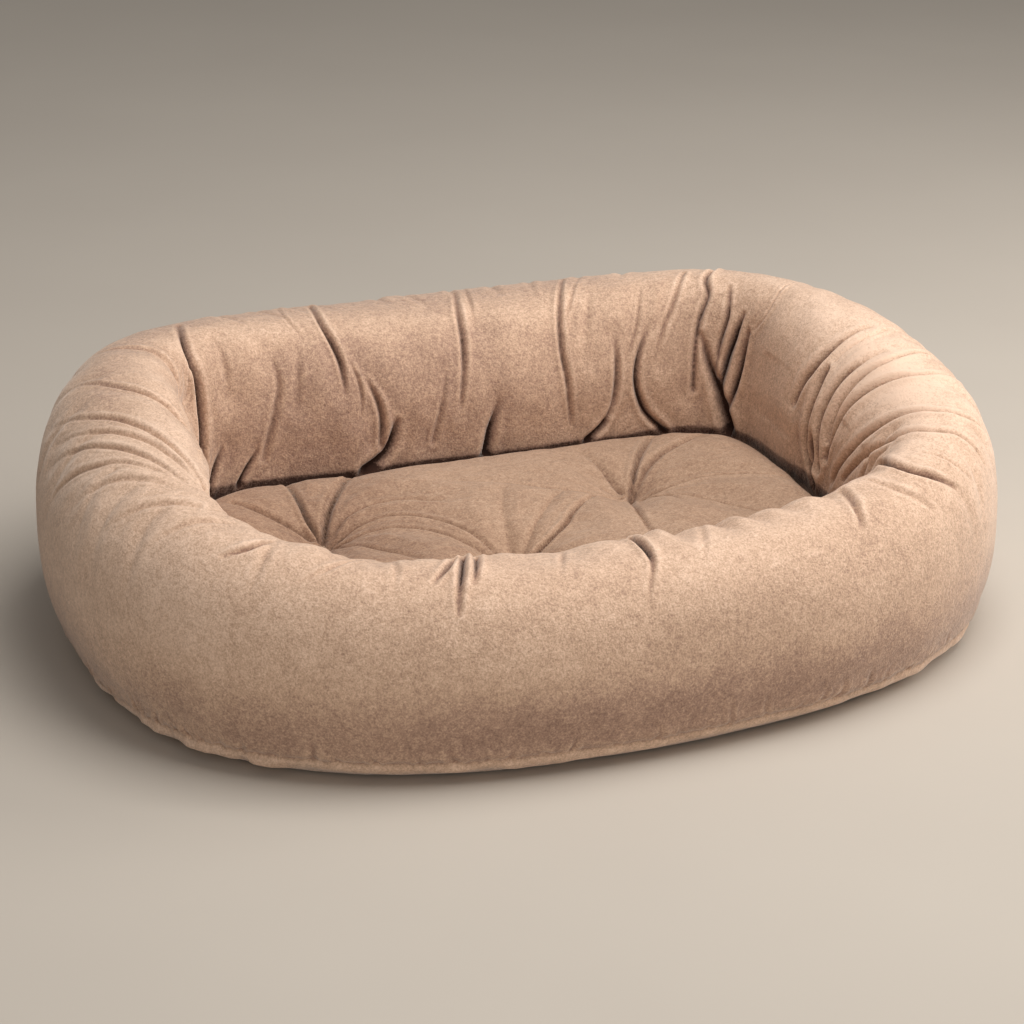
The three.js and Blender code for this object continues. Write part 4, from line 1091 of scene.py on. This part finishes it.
# ---------------------------------------------------------------- zipper
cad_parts["zip_tape_upper"].data.materials.clear()
for name, mat in (
    ("zip_tape_upper", tape_cloth),
    ("zip_tape_lower", tape_cloth),
    ("zip_top_stop_upper", antique),
    ("zip_top_stop_lower", antique),
    ("zip_bottom_stop", antique),
    ("zip_slider", antique),
    ("zip_pull_tab", antique),
    ("base_panel", base_cloth),
):
    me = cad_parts[name].data
    me.materials.clear()
    me.materials.append(mat)

slider_low, slider_high = (np.array(v) * 1000 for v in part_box("zip_slider"))


def coil(side, name, stands_for):
    """One side's nylon coil: close turns that bulge towards the other side."""
    low, high = (np.array(v) * 1000 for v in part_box(stands_for))
    half = (high[0] - low[0]) / 2
    mid = (high[0] + low[0]) / 2
    pitch = 1.5
    turns = int(2 * half / pitch) - 1
    parts = []
    u = np.linspace(0, 2 * math.pi, 12, endpoint=False)
    x0 = ZIP_O[0] - mid
    for i in range(turns):
        x = -half + pitch * (i + 0.75) + x0
        v = side * (1.95 + 1.05 * np.cos(u))
        n = -1.0 + 1.35 * np.sin(u)
        xs = x + 0.26 * np.sin(u) + 0.12 * np.cos(u) * side
        path = zip_to_world(xs, v, n)
        parts.append(sweep(path / 1000, 0.00036, 6, closed=True, up=(1, 0, 0)))
    core = zip_to_world(np.linspace(-half + x0 + 0.4, half + x0 - 0.4, 40), np.full(40, side * 2.1), np.full(40, -1.0))
    parts.append(sweep(core / 1000, 0.0006, 8))
    pts, faces = join(parts)
    o = mesh_object(name, pts, faces, [coil_nylon])
    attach(o, "bolster")
    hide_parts(stands_for)


coil(1, "zip_coil_turns_upper", "zip_coil_upper")
coil(-1, "zip_coil_turns_lower", "zip_coil_lower")


def welt(side, name):
    """The cover's folded edge along the zipper, with a row of stitches beside it."""
    n = 220
    x = np.linspace(-WINDOW_X - 2.5, WINDOW_X + 2.5, n)
    wobble = 0.35 * lattice_noise(x / 9 + 50, x * 0 + 0.5, 71 + side, 64, 2)
    parts = []
    prof = [(-0.2, -0.9), (-1.0, -0.2), (-1.15, 0.55), (-0.6, 1.25), (0.6, 1.45), (2.4, 1.35), (4.6, 1.15), (6.4, 0.75), (7.4, 0.1), (7.2, -0.9)]
    rows = []
    for pv, pn in prof:
        v = side * (WINDOW_V + pv + 0.2) + wobble * (1 if pv < 3 else 0.4)
        rows.append(zip_to_world(x, v, pn + 0.25 * lattice_noise(x / 6 + 20, x * 0 + pv, 75, 64, 16)))
    pts = np.stack(rows, 1)
    m = pts.shape[1]
    faces = grid_faces(n, m, wrap_u=False)
    if side > 0:
        faces = faces[:, ::-1]
    faces = [tuple(f) for f in faces]
    ends_ = [tuple(range(m)), tuple(range((n - 1) * m + m - 1, (n - 1) * m - 1, -1))]
    if side > 0:
        ends_ = [e[::-1] for e in ends_]
    o = mesh_object(name, pts.reshape(-1, 3) / 1000, faces + ends_, [plush])
    add_value(o, "painted_shade_and_tone", np.full(n * m, 0.02))
    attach(o, "bolster")
    stitches = []
    pitch = 3.4
    for i in range(int(2 * WINDOW_X / pitch)):
        a = -WINDOW_X + pitch * (i + 0.5)
        u = np.linspace(-1, 1, 7)
        path = zip_to_world(a + 1.15 * u, side * (WINDOW_V + 3.4) + 0 * u, 1.28 + 0.42 * (1 - u**2) - 0.25)
        stitches.append(sweep(path / 1000, 0.00034, 6, up=tuple(ZIP_N)))
    pts, faces = join(stitches)
    s = mesh_object(name + "_stitches", pts, faces, [seam_thread])
    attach(s, "bolster")


welt(1, "zip_welt_upper")
welt(-1, "zip_welt_lower")

# ---------------------------------------------------------------- base binding and care label
def base_binding():
    t = np.linspace(0, 2 * math.pi, 720, endpoint=False)
    ox, oy = outer_line(t)
    ix, iy = well_line(t)
    x, y = ix + (ox - ix) * 0.655 - MIDDLE[0], iy + (oy - iy) * 0.655 - MIDDLE[1]
    low, high = (np.array(v) * 1000 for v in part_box("base_panel"))
    x = low[0] + (x - x.min()) / (x.max() - x.min()) * (high[0] - low[0])
    y = low[1] + (y - y.min()) / (y.max() - y.min()) * (high[1] - low[1])
    path = np.stack([x, y, np.full_like(x, 1.7)], -1)
    pts, faces = sweep(path / 1000, 0.0016, 10, closed=True)
    o = mesh_object("base_piping", pts, faces, [base_cloth])
    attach(o, "bolster")
    step = 7.0
    seg = np.linalg.norm(np.diff(path, axis=0, append=path[:1]), axis=-1)
    total = seg.sum()
    at = np.concatenate([[0], np.cumsum(seg)])
    loop = np.vstack([path, path[:1]])
    centre = loop[:, :2].mean(0)
    parts = []
    for k in range(int(total / step)):
        a = k * step + np.linspace(-1.6, 1.6, 5)
        px = np.interp(a % total, at, loop[:, 0])
        py = np.interp(a % total, at, loop[:, 1])
        r = np.hypot(px - centre[0], py - centre[1])
        f = (r - 5.5) / r
        q = np.stack([centre[0] + (px - centre[0]) * f, centre[1] + (py - centre[1]) * f, 0.42 + 0 * px], -1)
        parts.append(sweep(q / 1000, 0.00036, 5))
    pts, faces = join(parts)
    s = mesh_object("base_stitches", pts, faces, [seam_thread])
    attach(s, "bolster")


base_binding()


def care_label():
    low, high = (np.array(v) * 1000 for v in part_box("care_label"))
    nx, ny = 16, 26
    u, v = np.meshgrid(np.linspace(0, 1, nx), np.linspace(0, 1, ny), indexing="ij")
    x = low[0] + (high[0] - low[0]) * u
    y = low[1] + (high[1] - low[1]) * v
    lift = 5.2 * smooth_step((v - 0.55) / 0.45) ** 1.3 + 0.7 * np.sin(u * 5.0 + 0.6) * smooth_step((v - 0.5) / 0.5)
    z = (low[2] + high[2]) / 2 + lift
    o = mesh_object("care_ribbon", np.stack([x, y, z], -1).reshape(-1, 3) / 1000, grid_faces(nx, ny, False, False), [ribbon])
    thick = o.modifiers.new("thick", "SOLIDIFY")
    thick.thickness = 0.0006
    thick.offset = 0
    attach(o, "bolster")
    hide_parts("care_label")


care_label()

# ---------------------------------------------------------------- floor, light, camera
scene = bpy.context.scene


def make_floor():
    me = bpy.data.meshes.new("floor")
    r = 12.0
    me.from_pydata([(-r, -r, 0), (r, -r, 0), (r, r, 0), (-r, r, 0)], [], [(0, 1, 2, 3)])
    o = bpy.data.objects.new("floor", me)
    scene.collection.objects.link(o)
    m, t, b = new_material("pale_floor")
    co = node(t, "ShaderNodeTexCoord").outputs["Object"]
    n = noise(t, co, 3.0, 3.0, 0.5)
    t.links.new(mix_colour(t, n, (0.50, 0.455, 0.40), (0.535, 0.49, 0.43)), b.inputs["Base Color"])
    b.inputs["Roughness"].default_value = 0.9
    b.inputs["Specular IOR Level"].default_value = 0.1
    me.materials.append(m)


make_floor()


def area_light(name, place, target, size, power, colour=(1, 1, 1), size_y=None):
    data = bpy.data.lights.new(name, "AREA")
    data.shape = "RECTANGLE"
    data.size, data.size_y = size, size_y or size
    data.energy = power
    data.color = colour
    o = bpy.data.objects.new(name, data)
    o.location = place
    o.rotation_mode = "QUATERNION"
    o.rotation_quaternion = (Vector(target) - Vector(place)).to_track_quat("-Z", "Y")
    scene.collection.objects.link(o)


area_light("over", (0.45, -0.45, 2.2), (0, 0, 0.1), 1.5, 43.5, (1.0, 0.97, 0.94))
area_light("front", (-0.5, -2.5, 0.7), (0, 0, 0.12), 1.2, 10.0, (1.0, 0.96, 0.92))
area_light("right", (2.3, -0.5, 1.2), (0, 0, 0.14), 1.2, 32.0, (1.0, 0.95, 0.9))

world = bpy.data.worlds.new("studio")
scene.world = world
world.use_nodes = True
world.node_tree.nodes["Background"].inputs[0].default_value = (1.0, 0.97, 0.94, 1)
world.node_tree.nodes["Background"].inputs[1].default_value = 0.27

scene.view_settings.view_transform = "Standard"
scene.view_settings.look = "None"
scene.view_settings.exposure = 0.0
scene.view_settings.gamma = 1.0


def make_camera():
    azimuth, elevation, roll = (math.radians(v) for v in (-23.3094, 22.3245, 0.7884))
    distance, shift_right, shift_up = 2.82683, -0.00663, -0.00223
    back = np.array([math.sin(azimuth) * math.cos(elevation), -math.cos(azimuth) * math.cos(elevation), math.sin(elevation)])
    right = np.array([math.cos(azimuth), math.sin(azimuth), 0.0])
    up = np.cross(back, right)
    c, s = math.cos(roll), math.sin(roll)
    axes = np.stack([c * right + s * up, -s * right + c * up, back])
    middle = np.array([MIDDLE[0], MIDDLE[1], 0.0]) / 1000
    place = np.array([0, 0, 0.1]) + back * distance + right * shift_right + up * shift_up - middle
    data = bpy.data.cameras.new("camera")
    data.sensor_width = 36.0
    data.lens = 36.0 * 3000.7 / 1024
    data.clip_start, data.clip_end = 0.05, 60.0
    o = bpy.data.objects.new("camera", data)
    scene.collection.objects.link(o)
    m = Matrix.Identity(4)
    for i in range(3):
        for j in range(3):
            m[i][j] = axes[j][i]
        m[i][3] = place[i]
    o.matrix_world = m
    scene.camera = o


make_camera()

bpy.context.view_layer.update()
